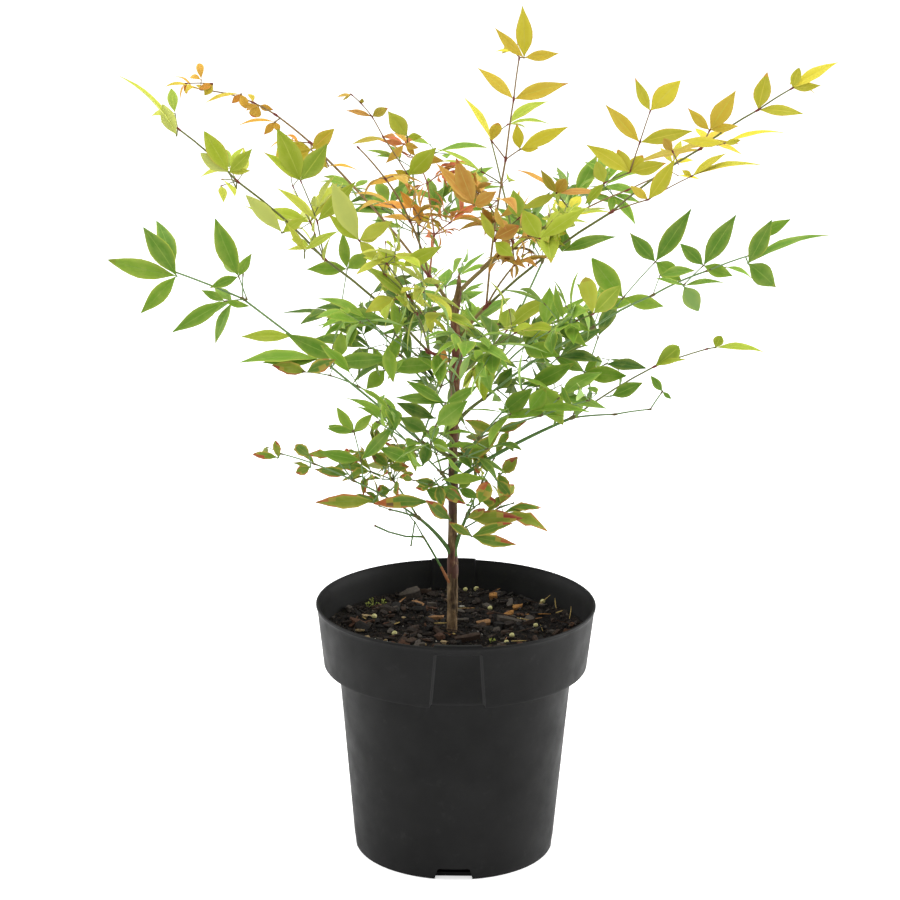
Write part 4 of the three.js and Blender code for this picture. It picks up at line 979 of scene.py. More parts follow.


def cane_bark(stops):
    """Bark in bands up the cane: each stop is a height and its colour, broken up in streaks, with a dark spot
    of painted shade in the pit of an old bud scar.
    """
    low, high = stops[0][0], stops[-1][0]
    made = Finish("cane_bark", stops[0][1], 0.7, 0.3)
    where = made.add("TexCoord", out="Object")
    height = made.add("SeparateXYZ", out=2, _0=where)
    streak = made.noise(240, 6, 0.65, stretch=(1, 1, 0.12))
    patch = made.noise(75, 4, 0.6, stretch=(1, 1, 0.5))
    shift = made.math("MULTIPLY", made.math("SUBTRACT", patch, 0.5), 0.06)
    drift = made.math("MULTIPLY", made.math("SUBTRACT", streak, 0.5), 0.045)
    place = made.math("ADD", made.math("ADD", height, shift), drift)
    share = made.add("MapRange", _0=place, _1=low, _2=high, _3=0.0, _4=1.0)
    tone = made.ramp(share, [((z - low) / (high - low), c) for z, c in stops])
    pale = made.mix(made.ranged(patch, 0, 0.5, 0.5, 0.72), tone, linear(0x9a7a52))
    dark = made.ranged(streak, 0, 0.8, 0.5, 0.68)
    speck = made.noise(420, 5, 0.7, stretch=(1, 1, 0.3))
    worn = made.mix(made.ranged(speck, 0.75, 0, 0.34, 0.48), pale, linear(0xa88c66))
    furrowed = made.mix(made.ranged(speck, 0, 0.8, 0.54, 0.66), worn, linear(0x382218))
    streaked = made.mix(dark, furrowed, linear(0x2c1a12))
    # Painted shade: a dark spot with a ragged edge in the bud scar's pit.
    pit_shade_distance = made.add("VectorMath", out=1, settings=dict(operation="DISTANCE"), _0=made.place(),
                    _1=tuple((cane_at(PIT_SHADE_HEIGHT) + np.array(PIT_SHADE_FACE)) * MM))
    wobble = made.math("ADD", pit_shade_distance, made.math("MULTIPLY", speck, 0.003))
    made.colour(made.mix(made.ranged(wobble, 0.85, 0, 0.0032, 0.0048), streaked, linear(0x1c120d)))
    made.rough(made.ranged(streak, 0.55, 0.85))
    made.bump(streak, 0.0006, 0.7)
    made.bump(made.noise(1400, 3, stretch=(1, 1, 0.3)), 0.0002, 0.5)
    return made.material


def stem_finish(name, colour, shine=0.55):
    """Ribbed green or ripened skin of a stalk or twig."""
    made = Finish(name, colour, shine, 0.35)
    rib = made.noise(900, 4, 0.6, stretch=(1, 1, 0.15))
    made.rough(made.ranged(rib, shine - 0.08, shine + 0.12))
    made.bump(rib, 0.00018, 0.6)
    return made.material


def blade_finish(name, colour, shine):
    """Leaf skin in one plain colour: veins that branch forward off the rib, over a fine grain."""
    made = Finish(name, colour, shine, 0.16)
    place = made.add("UVMap", settings=dict(uv_map="blade"))
    parts = made.tree.nodes.new("ShaderNodeSeparateXYZ")
    made.feed(parts.inputs[0], place)
    off_rib = made.math("ABSOLUTE", made.math("SUBTRACT", parts.outputs[1], 0.5))
    phase = made.math("SUBTRACT", made.math("MULTIPLY", parts.outputs[0], 62.0),
                      made.math("MULTIPLY", off_rib, 30.0))
    vein = made.math("POWER", made.math("ABSOLUTE", made.math("SINE", phase)), 0.35)
    grain = made.noise(1500, 3, 0.6)
    cloud = made.noise(110, 3, 0.6)
    rim = made.mix(made.ranged(off_rib, 0, 1, 0.22, 0.47), mixed(colour, BLACK, 0.1),
                   mixed(colour, linear(0xcdcb62), 0.22))
    made.colour(made.mix(made.ranged(cloud, 0, 0.5, 0.45, 0.75), rim, mixed(colour, linear(0xd8d07a), 0.3)))
    made.rough(made.ranged(grain, shine - 0.06, shine + 0.1))
    made.bump(vein, 0.00022, 0.4)
    made.bump(grain, 0.00012, 0.4)
    return made.material


# ---- Mesh helpers ------------------------------------------------------------------------------


def lone():
    """Nothing selected, and out of edit mode."""
    if bpy.context.object and bpy.context.object.mode != "OBJECT":
        bpy.ops.object.mode_set(mode="OBJECT")
    bpy.ops.object.select_all(action="DESELECT")


def choose(piece):
    lone()
    piece.select_set(True)
    bpy.context.view_layer.objects.active = piece


def extruded_rings(name, sides, rows):
    """A circle at the first row, extruded ring by ring through the others and closed at both ends.
    Each row is a lean to the right, a radius and a height."""
    lean, radius, height = rows[0]
    lone()
    bpy.ops.mesh.primitive_circle_add(vertices=sides, radius=radius * MM, fill_type="NGON",
                                      location=(lean * MM, 0, height * MM))
    piece = bpy.context.object
    piece.name = piece.data.name = name
    bpy.ops.object.transform_apply(location=True, rotation=False, scale=False)
    bpy.ops.object.mode_set(mode="EDIT")
    bpy.ops.mesh.select_all(action="SELECT")
    for next_lean, next_radius, next_height in rows[1:]:
        step = ((next_lean - lean) * MM, 0, (next_height - height) * MM)
        bpy.ops.mesh.extrude_region_move(TRANSFORM_OT_translate=dict(value=step))
        share = next_radius / radius
        bpy.ops.transform.resize(value=(share, share, 1),
                                 center_override=(next_lean * MM, 0, next_height * MM))
        lean, radius, height = next_lean, next_radius, next_height
    bpy.ops.mesh.select_all(action="SELECT")
    bpy.ops.mesh.normals_make_consistent(inside=False)
    bpy.ops.object.mode_set(mode="OBJECT")
    return piece


def corners(piece):
    """A piece's vertices in millimetres, as an array."""
    places = np.zeros(len(piece.data.vertices) * 3)
    piece.data.vertices.foreach_get("co", places)
    return places.reshape(-1, 3) / MM


def move_corners(piece, places):
    piece.data.vertices.foreach_set("co", (places * MM).astype(np.float32).ravel())
    piece.data.update()


def coat(piece, material):
    """Gives a piece one material, whatever it had."""
    piece.data.materials.clear()
    piece.data.materials.append(material)


def smooth(piece, degrees):
    choose(piece)
    bpy.ops.object.shade_smooth_by_angle(angle=math.radians(degrees))


class Heap:
    """Small shapes gathered into one mesh: places in millimetres, faces, a finish per face, and a
    place on the blade per vertex where there is one."""

    def __init__(self):
        self.places, self.faces, self.kinds, self.blade, self.count = [], [], [], [], 0

    def add(self, places, faces, kinds, blade=None):
        self.places.append(places)
        self.faces += [tuple(i + self.count for i in face) for face in faces]
        self.kinds += kinds if isinstance(kinds, list) else [kinds] * len(faces)
        self.blade.append(np.zeros((len(places), 2)) if blade is None else blade)
        self.count += len(places)

    def piece(self, name, finishes, degrees):
        """One mesh object. finishes names each kind's material."""
        mesh = bpy.data.meshes.new(name)
        mesh.from_pydata((np.concatenate(self.places) * MM).tolist(), [], self.faces)
        order = {kind: i for i, kind in enumerate(dict.fromkeys(self.kinds))}
        for kind in order:
            mesh.materials.append(finishes[kind])
        mesh.polygons.foreach_set("material_index", [order[kind] for kind in self.kinds])
        corner = np.zeros(len(mesh.loops), np.int32)
        mesh.loops.foreach_get("vertex_index", corner)
        layer = mesh.uv_layers.new(name="blade")
        layer.uv.foreach_set("vector", np.concatenate(self.blade)[corner].astype(np.float32).ravel())
        mesh.validate()
        made = bpy.data.objects.new(name, mesh)
        bpy.context.scene.collection.objects.link(made)
        smooth(made, degrees)
        return made


TUBE_RIDGES = 5


def tube(points, radii, sides, aside=UP, ridges=0.0):
    """A round limb through points, closed at both ends, with a few ridges. Returns places and faces."""
    points, radii = np.asarray(points, float), np.asarray(radii, float)
    ahead = np.concatenate((points[1:], points[-1:]))
    behind = np.concatenate((points[:1], points[:-1]))
    way = ahead - behind
    way /= np.linalg.norm(way, axis=1)[:, None]
    left = np.cross(aside, way)
    left /= np.linalg.norm(left, axis=1)[:, None]
    upper = np.cross(way, left)
    turn = np.arange(sides) * (2 * math.pi / sides)
    swell = 1 + ridges * np.cos(turn * TUBE_RIDGES)
    ring = (left[:, None] * (np.cos(turn) * swell)[:, None]
            + upper[:, None] * (np.sin(turn) * swell)[:, None])
    places = (points[:, None] + ring * radii[:, None, None]).reshape(-1, 3)
    last = (len(points) - 1) * sides
    faces = [(row + i, row + (i + 1) % sides, row + sides + (i + 1) % sides, row + sides + i)
             for row in range(0, last, sides) for i in range(sides)]
    return places, [*faces, tuple(reversed(range(sides))), tuple(range(last, last + sides))]


# ---- Sizes and colours that a user would change ------------------------------------------------


def length(name, description, size):
    return bpy.props.FloatProperty(name=name, description=description, default=size * MM, min=0,
                                   subtype="DISTANCE", unit="LENGTH")


def share(name, description, default, top=2.0):
    return bpy.props.FloatProperty(name=name, description=description, default=default, min=0,
                                   max=top, subtype="FACTOR")


def amount(name, description, default):
    return bpy.props.IntProperty(name=name, description=description, default=default, min=0)


def tone(name, description, code):
    return bpy.props.FloatVectorProperty(name=name, description=description, subtype="COLOR",
                                         size=3, min=0, max=1, default=linear(code))


POT_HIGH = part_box("pot")[1]
COLLAR_FOOT, CANE_STOUTEST = 127.5, 3.4


class PotSettings(bpy.types.PropertyGroup):
    height: length("Height", "Height of the pot's rim", POT_HIGH.z / MM)
    rim_radius: length("Rim radius", "Radius of the rim outside", POT_HIGH.x / MM)
    base_radius: length("Foot radius", "Radius of the foot outside", 66.4)
    body_radius: length("Body radius", "Radius of the body under the collar", 77.5)
    collar_foot: length("Collar foot", "Height of the collar's lower edge", COLLAR_FOOT)
    collar_radius: length("Collar radius", "Radius of the collar's lower edge", 87.2)
    wall: length("Wall", "Thickness of the wall", 1.6)
    panel_depth: length("Panel depth", "How deep the label panels are sunk", 1.7)
    plastic: tone("Plastic", "Colour of the moulded plastic", 0x131313)


class SoilSettings(bpy.types.PropertyGroup):
    radius: length("Radius", "Radius of the soil's surface", 87.6)
    roughness: length("Roughness", "Height of the soil's waves", 2.2)
    chips: amount("Chips", "How many bark chips lie on the soil", 430)
    crumbs: amount("Crumbs", "How many crumbs lie on the soil", 2600)
    slivers: amount("Slivers", "How many straws and wood slivers lie on the soil", 90)
    pellets: amount("Pellets", "How many plant food pellets lie on the soil", 9)
    soil: tone("Soil", "Colour of the potting mix", 0x130f0c)
    pellet: tone("Pellet", "Colour of the plant food pellets", 0xb5b077)


class StemSettings(bpy.types.PropertyGroup):
    cane: length("Cane radius", "Largest radius of the cane", CANE_STOUTEST)
    fissures: length("Fissures", "Depth of the cane's bark relief", 0.4)
    slim: share("Twig thickness", "Thickness of the thin twigs against the source", 0.78)
    bark: tone("Bark", "Tint laid over the cane's bark", 0x6a5038)
    maroon: tone("Maroon sheath", "Sheaths near the top", 0x5c2726)
    green: tone("Green stalk", "Skin of the lower stalks", 0x537439)
    ripe: tone("Ripe stalk", "Skin of the upper stalks", 0x7a6a3a)
    joint: tone("Joint", "Swollen joints", 0x703226)


class LeafSettings(bpy.types.PropertyGroup):
    breadth: share("Breadth", "Width of the blades against the source", 1.0)
    curl: share("Curl", "How far the tips curl down", 0.34)
    thickness: length("Thickness", "Thickness of a blade at its rib", 0.5)
    yellow: tone("Yellow", "Young leaves at the top", 0xe0d239)
    lime: tone("Lime", "Young leaves further down", 0xadbe33)
    green: tone("Green", "Grown leaves", 0x77a02e)
    deep: tone("Deep green", "Old leaves", 0x4e7421)
    bronze: tone("Bronze", "Unfolding leaves in front", 0xc49d3f)
    orange: tone("Orange", "Unfolding leaves of the arching spray", 0xdaa738)
    red: tone("Red", "The youngest leaves", 0xcc7443)
    aged: tone("Aged", "Old leaves at the foot", 0x76942f)


class StudioSettings(bpy.types.PropertyGroup):
    sky: share("Sky", "Strength of the light from all round", 0.39, 4)
    lamps: share("Lamps", "Strength of the lamps", 1.0, 4)
    lens: bpy.props.FloatProperty(name="Lens", description="Focal length", default=109.7, min=1,
                                  unit="CAMERA")
    floor: tone("Floor", "Colour of the floor", 0xf4f4f4)


# ---- Pot ---------------------------------------------------------------------------------------

POT_SIDES = 192
PANEL_TOP, PANEL_HALF_TOP, PANEL_HALF_FOOT, PANEL_TURN = 165.0, 15.0, 17.8, 0.95
LIP_LOW, LIP_HEIGHT, PANEL_FRONT = 120, 127.7, 129       # of the collar at a panel
# Grid columns that shape a panel's edge: column, how far off the edge in millimetres, share of the
# sinking there. Columns out to PANEL_CALM close up towards them, columns out to PANEL_SIDE turn with
# the panel, and inside the wall a panel is PANEL_INNER wider.
PANEL_EDGE = ((5, -1.3, 1.0), (6, -0.75, 0.82), (7, -0.05, 0.1), (8, 0.4, 0.0))
PANEL_CALM, PANEL_SIDE, PANEL_INNER = 12, 40, 0.6
TAB_HEIGHT, LIP_DROP = 1.1, 0.5
NOTCH_HEIGHT, NOTCH_TOP, NOTCH_FOOT, NOTCHES = 8.0, 21.0, 26.0, 4
NOTCH_MIDDLE, NOTCH_REACH, NOTCH_ROUND, NOTCH_UNDER = -68.0, 9.0, 1.2, -2.0


def pot_rows(pot):
    """The pot's profile from the middle of its underside, out, up, over the rim and down inside:
    radius, height, how far the row sinks in the label panels, and how far it rises there."""
    top, foot, wall = pot.height / MM, pot.collar_foot / MM, pot.wall / MM
    rim, low = pot.rim_radius / MM, pot.collar_radius / MM
    body, base, deep = pot.body_radius / MM, pot.base_radius / MM, pot.panel_depth / MM

    def collar(z):
        return low + (rim - 0.5 - low) * (z - foot) / (top - foot)

    def side(z):
        return base + (body - base) * (z - 1.2) / (foot - 1.2)

    rows = [(22, 1.3, 0, 0), (50, 1.3, 0, 0), (51.4, 1.0, 0, 0), (52.2, 0.2, 0, 0), (53, 0, 0, 0),
            (base - 1.6, 0, 0, 0), (base - 0.5, 0.35, 0, 0), (base, 1.2, 0, 0), (side(9), 9, 0, 0)]
    rows += [(side(z), z, 0, 0) for z in (30, 60, 90, 115, foot - 1.2)]
    rows += [(body + 0.25, foot - 0.3, 0, 0.9), (body + 1, foot, 0, 1.2),
             (low - 1.0, foot, deep, 1.2), (low - 0.3, foot + 0.25, deep, 1.2),
             (collar(foot + 0.9), foot + 0.9, deep, 1.2), (collar(foot + 2.4), foot + 2.4, deep, 0.6)]
    rows += [(collar(z), z, deep, 0) for z in (137, 146, 155, PANEL_TOP - 1.4)]
    rows += [(collar(PANEL_TOP - 0.7), PANEL_TOP - 0.7, deep * 0.82, 0),
             (collar(PANEL_TOP), PANEL_TOP, deep * 0.1, 0), (collar(PANEL_TOP + 0.5), PANEL_TOP + 0.5, 0, 0),
             (collar(top - 2.6), top - 2.6, 0, 0), (rim - 0.35, top - 2.0, 0, 0),
             (rim, top - 1.3, 0, 0), (rim, top - 0.7, 0, 0), (rim - 0.3, top - 0.15, 0, 0),
             (rim - 0.7, top, 0, 0), (rim - 0.95, top, 0, 0), (rim - 1.05, top, 0.1, TAB_HEIGHT),
             (rim - wall + 0.2, top, deep, TAB_HEIGHT + 0.1), (rim - wall, top - 0.3, deep, TAB_HEIGHT),
             (rim - wall, top - 1.0, deep, 0.4)]
    rows += [(collar(z) - wall, z, deep, 0) for z in (167, 160, 152, 144, 136, foot + 2.6)]
    rows += [(low - wall - 1, foot + wall, deep, 0), (body - wall + 0.5, foot + wall, 0, 0),
             (body - wall, foot + wall - 0.7, 0, 0), (side(60) - wall, 60, 0, 0),
             (side(4) - wall, 4, 0, 0), (base - wall - 1, 2.8, 0, 0), (base - wall - 2, 2.5, 0, 0),
             (22, 2.5, 0, 0)]
    return rows


def sink_panels(piece, rows):
    """Sinks the two label panels and raises the tab over each: the columns beside their edges
    close up, and what lies between moves in. Returns where each corner lies: 1 on a panel,
    2 inside, 3 on a panel's side, else 0."""
    places, table = corners(piece), np.array(rows)
    radius = np.hypot(places[:, 0], places[:, 1])
    angle = np.degrees(np.arctan2(places[:, 1], places[:, 0]))
    row = ((radius[:, None] - table[:, 0]) ** 2 + (places[:, 2][:, None] - table[:, 1]) ** 2).argmin(1)
    reach, height, sink, lift = (table[row, i] for i in range(4))
    inner = row > int(np.argmax(table[:, 3] == TAB_HEIGHT)) - 1
    half = PANEL_HALF_FOOT + (PANEL_HALF_TOP - PANEL_HALF_FOOT) * (
        (height - COLLAR_FOOT) / (PANEL_TOP - COLLAR_FOOT)).clip(0, 1) + inner * PANEL_INNER
    step = 360 / POT_SIDES
    kind = np.where(inner, 2, 0)
    for middle in (-90, 90):
        off = (angle - middle + 180) % 360 - 180
        column = np.abs(off) / step
        near = column < PANEL_SIDE
        stops = [0.0] + [c for c, _, _ in PANEL_EDGE] + [PANEL_CALM]
        edge = [np.degrees(np.arcsin(((half + o) / reach).clip(0, 1))) for _, o, _ in PANEL_EDGE]
        marks = np.array([np.zeros_like(half), *edge, np.full_like(half, PANEL_CALM * step)])
        share = np.interp(column, stops, [1.0] + [h for _, _, h in PANEL_EDGE] + [0.0])
        moved = np.array([np.interp(c, stops, marks[:, i]) for i, c in enumerate(column)])
        use = (height > LIP_LOW) & (column < PANEL_CALM)
        turn = np.radians(middle + PANEL_TURN * near + np.where(use, moved * np.sign(off), off))
        away = reach - np.where(use, sink * share, 0)
        places[:, 0] = np.where(near, away * np.cos(turn), places[:, 0])
        places[:, 1] = np.where(near, away * np.sin(turn), places[:, 1])
        places[:, 2] += np.where(use, lift * (share > 0.5), 0)
        lip = use & (share < 0.05) & (column < PANEL_CALM - 1) & (np.abs(height - LIP_HEIGHT) < 1.2)
        places[:, 2] -= np.where(lip, LIP_DROP, 0)
        front = use & ~inner & (height > PANEL_FRONT) & (height < PANEL_TOP - 1)
        kind = np.where(front & (share > 0.9), 1, np.where(front & (share > 0.1), 3, kind))
    move_corners(piece, places)
    return kind


def cut_notch(piece, turn):
    """Cuts one notch through the pot's foot with a tapered block that has rounded top corners."""
    lone()
    bpy.ops.mesh.primitive_cube_add(size=1, location=(0, 0, 0))
    block = bpy.context.object
    places = corners(block) * MM * 2          # corners at -1 and 1
    half = np.where(places[:, 2] > 0, NOTCH_TOP, NOTCH_FOOT) / 2
    shaped = np.column_stack((places[:, 0] * half, NOTCH_MIDDLE + NOTCH_REACH * places[:, 1],
                              np.where(places[:, 2] > 0, NOTCH_HEIGHT, NOTCH_UNDER)))
    move_corners(block, shaped)
    bpy.ops.object.mode_set(mode="EDIT")
    bpy.ops.mesh.select_all(action="DESELECT")
    bpy.ops.object.mode_set(mode="OBJECT")
    for edge in block.data.edges:
        a, b = (block.data.vertices[i].co for i in edge.vertices)
        edge.select = a.z > 0 and b.z > 0 and abs(a.y - b.y) > 1 * MM
    bpy.ops.object.mode_set(mode="EDIT")
    bpy.ops.mesh.bevel(offset=NOTCH_ROUND * MM, segments=4, affect="EDGES")
    bpy.ops.object.mode_set(mode="OBJECT")
    block.matrix_world = Matrix.Rotation(turn, 4, "Z")
    choose(piece)
    cut = piece.modifiers.new("notch", "BOOLEAN")
    cut.operation, cut.solver, cut.object = "DIFFERENCE", "EXACT", block
    bpy.ops.object.modifier_apply(modifier=cut.name)
    bpy.data.objects.remove(block)


class BAMBOO_OT_pot(bpy.types.Operator):
    """Moulds the nursery pot with its collar, label panels, rolled rim and notched foot"""
    bl_idname = "bamboo.pot"
    bl_label = "Build Pot"

    def execute(self, context):
        pot = context.scene.bamboo_pot
        rows = pot_rows(pot)
        piece = extruded_rings("pot_shell", POT_SIDES, [(0, r, z) for r, z, _, _ in rows])
        kind = sink_panels(piece, rows)
        plastic = pot.plastic[:]
        # The panels are darker. The inside is painted lighter, as painted light on its shaded wall, and the
        # panels' side walls a little lighter, as a painted highlight.
        for name, colour, shine in (("moulded_plastic", plastic, 0.15),
                                    ("panel_plastic", mixed(plastic, BLACK, 0.2), 0.13),
                                    ("inside_painted_light_plastic", mixed(plastic, WHITE, 0.007), 0.12),
                                    ("panel_side_painted_highlight", mixed(plastic, WHITE, 0.009), 0.22)):
            piece.data.materials.append(moulded_plastic(name, colour, shine))
        # Each face takes its plastic: the panel's, the inside's with its painted light, or the panel side's
        # with its painted highlight.
        rims = [kind[list(face.vertices)] for face in piece.data.polygons]
        piece.data.polygons.foreach_set("material_index", [
            3 if (rim == 3).any() else int(rim[0]) if (rim == rim[0]).all() else 0 for rim in rims])
        for i in range(NOTCHES):
            cut_notch(piece, i * 2 * math.pi / NOTCHES)
        smooth(piece, 32)
        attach(piece, "root")
        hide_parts("pot")
        return {"FINISHED"}


# ---- Soil and what lies on it ------------------------------------------------------------------


SOIL_RINGS, SOIL_WAVES = 44, 2.2


def soil_height(x, y, waves=SOIL_WAVES):
    radius, angle = np.hypot(x, y), np.arctan2(y, x)
    calm = ((radius - 14) / 15).clip(0, 1)
    return SOIL_TOP + waves * calm * (np.sin(radius / 6 + 2 * angle) * 0.4
                                      + np.sin(3 * angle - radius / 9) * 0.6)


def soil_at(x, y):
    return float(soil_height(np.array(x), np.array(y)))


class BAMBOO_OT_soil(bpy.types.Operator):
    """Fills the pot with potting mix that has a crumbly surface"""
    bl_idname = "bamboo.soil"
    bl_label = "Build Soil"

    def execute(self, context):
        soil = context.scene.bamboo_soil
        edge = soil.radius / MM
        rows = [(0, 40, 2.9), (0, 55, 2.9), (0, 62.6, 11), (0, 75.2, 127), (0, 78, 129.4),
                (0, edge - 2.6, 131), (0, edge - 0.8, 148)]
        rows += [(0, edge * (1 - i / SOIL_RINGS), SOIL_TOP) for i in range(SOIL_RINGS)]
        piece = extruded_rings("soil_bed", 160, rows)
        places = corners(piece)
        top = places[:, 2] > SOIL_TOP - 0.5
        lift = soil_height(places[:, 0], places[:, 1], soil.roughness / MM)
        for i in np.nonzero(top)[0]:
            x, y = places[i, 0], places[i, 1]
            lift[i] += 1.1 * noise.noise(Vector((x / 4, y / 4, 3.0)))
            lift[i] += 0.7 * noise.noise(Vector((x / 1.7, y / 1.7, 9.0)))
        places[:, 2] = np.where(top, lift - 0.3, places[:, 2])
        move_corners(piece, places)
        coat(piece, potting_mix(soil.soil[:]))
        smooth(piece, 60)
        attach(piece, "root")
        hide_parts("soil")
        return {"FINISHED"}


CHIP_TONES = {
    "dark": 0x15110e, "umber": 0x261d17, "brown": 0x3a2b21, "rust": 0x4a3020, "tan": 0x8f6a47,
    "grey": 0x4b443e, "pale": 0x97825f, "ash": 0x74706b, "ochre": 0x9a6c38, "straw": 0xab935a,
    "white": 0xd8d4c8, "sprout": 0x8f9748,
}
CHIP_MIX = ("dark",) * 12 + ("umber",) * 11 + ("brown",) * 6 + ("grey",) * 4 + ("rust",) * 3 + ("tan", "pale")
CRUMB_MIX, WHITE_CRUMBS = ("dark", "dark", "umber", "umber", "dark", "grey"), 0.02
STRAW_MIX = ("tan", "brown", "brown", "umber", "rust", "umber", "straw")
# Chips that show well: x, y, heading, length, width, thickness, tilt, tone
CHIPS_TOLD = (
    (-31, 70, 12, 15, 10, 8, 20, "grey"), (-12.9, 22, 4, 11, 3, 2.4, 4, "tan"),
    (8.2, -21, 14, 19, 6, 4, 8, "brown"), (13, -5, 170, 6, 3, 2, 5, "ash"),
    (35, 16, 160, 20, 8, 4, 6, "grey"), (25.5, 62, 20, 7, 5, 4, 15, "ochre"),
    (36, 30, 30, 8, 4, 3, 10, "ochre"), (19, 15, 10, 11, 5, 3, 6, "tan"),
    (-66, 9, 150, 13, 8, 4, 12, "rust"), (42, 44, 25, 8, 4, 2.6, 12, "ochre"),
)
# Thin straws that show well: x, y, heading, length, thickness, tilt, tone
STRAWS_TOLD = (
    (54, 27, 358, 20, 0.9, 3, "ochre"), (28, 31, 315, 34, 1.0, 4, "brown"),
    (60, 54, 35, 12, 0.7, 25, "straw"), (-37, 53, 60, 12, 1.0, 10, "tan"),
    (40, -25, 350, 13, 0.8, 6, "straw"), (-7, 8, 350, 15, 0.9, 2, "straw"),
    (4, 47, 300, 9, 0.8, 18, "white"), (7, 44, 345, 12, 0.7, 6, "straw"), (-2, -6, 325, 18, 0.8, 3, "brown"),
    (77, 28, 80, 10, 0.7, 40, "straw"), (68, 46, 100, 9, 0.7, 45, "straw"),
)
PELLETS_TOLD = ((6.7, 78.4), (14.3, 80), (59.5, 57.5), (53.2, 3.6), (33.2, -24.7), (-54.5, 17.7))
SPROUTS = ((-56, 56, 5), (-60, 50, 4), (-50, 58, 4), (23, -23, 3))      # x, y, height
LITTER_REACH = 86.4             # nothing on the soil reaches into the wall
# How far out each kind may lie, and how far off the cane's foot.
CHIP_PLACE, CRUMB_PLACE, STRAW_PLACE, PELLET_PLACE = (84.5, 7), (86, 4.5), (80, 8), (82, 12)
PELLET_RADIUS, PELLET_RISE = 1.7, 1.6


def turned_by(heading, tilt, roll):
    """Turn for something that lies along a heading, tilted up and rolled over."""
    h, r = math.radians(heading), math.radians(roll)
    along, left = aim(heading, tilt), np.array((-math.sin(h), math.cos(h), 0))
    upper = cross(along, left)
    return np.array((along, left * math.cos(r) + upper * math.sin(r),
                     upper * math.cos(r) - left * math.sin(r)))


def flake(length, width, thickness, dice):
    """A split chip: a ragged outline under and over, with a raised middle. 24 faces."""
    count = 8
    rim = []
    for i in range(count):
        a = 2 * math.pi * (i + 0.5 * dice()) / count
        stretch = 0.78 + 0.34 * dice()
        rim.append((math.copysign(abs(math.cos(a)) ** 0.6, math.cos(a)) * stretch * length / 2,
                    math.copysign(abs(math.sin(a)) ** 0.7, math.sin(a)) * stretch * width / 2))
    low = [(x * 0.92, y * 0.9, -thickness * (0.3 + 0.3 * dice())) for x, y in rim]
    high = [(x, y, thickness * (0.1 + 0.35 * dice())) for x, y in rim]
    middle = [(0, 0, -thickness / 2), (length * 0.1 * (dice() - 0.5), 0, thickness * 0.55)]
    faces = []
    for i in range(count):
        j = (i + 1) % count
        faces += [(i, j, count + j, count + i), (j, i, 2 * count), (count + i, count + j, 2 * count + 1)]
    return np.array(low + high + middle), faces


def crumb(size, dice):
    """A small lump: an uneven eight-faced body."""
    base = np.array(((1, 0, 0), (0, 1, 0), (-1, 0, 0), (0, -1, 0), (0, 0, 1), (0, 0, -1)), float)
    base *= size / 2 * np.array([[0.6 + 0.7 * dice()] for _ in base])
    base += size * 0.12 * np.array([[dice() - 0.5 for _ in range(3)] for _ in base])
    faces = [(0, 1, 4), (1, 2, 4), (2, 3, 4), (3, 0, 4), (1, 0, 5), (2, 1, 5), (3, 2, 5), (0, 3, 5)]
    return base, faces


def lay(shape, x, y, rise, turn):
    places, faces = shape
    placed = places @ turn + np.array((x, y, soil_at(x, y) + rise))
    placed[:, :2] *= np.minimum(1, LITTER_REACH / np.hypot(placed[:, 0], placed[:, 1]))[:, None]
    return placed, faces


def somewhere(dice, reach, clear):
    """A place on the soil, away from the cane and inside the wall."""
    while True:
        x, y = (2 * dice() - 1) * reach, (2 * dice() - 1) * reach
        if clear < math.hypot(x, y) < reach:
            return x, y


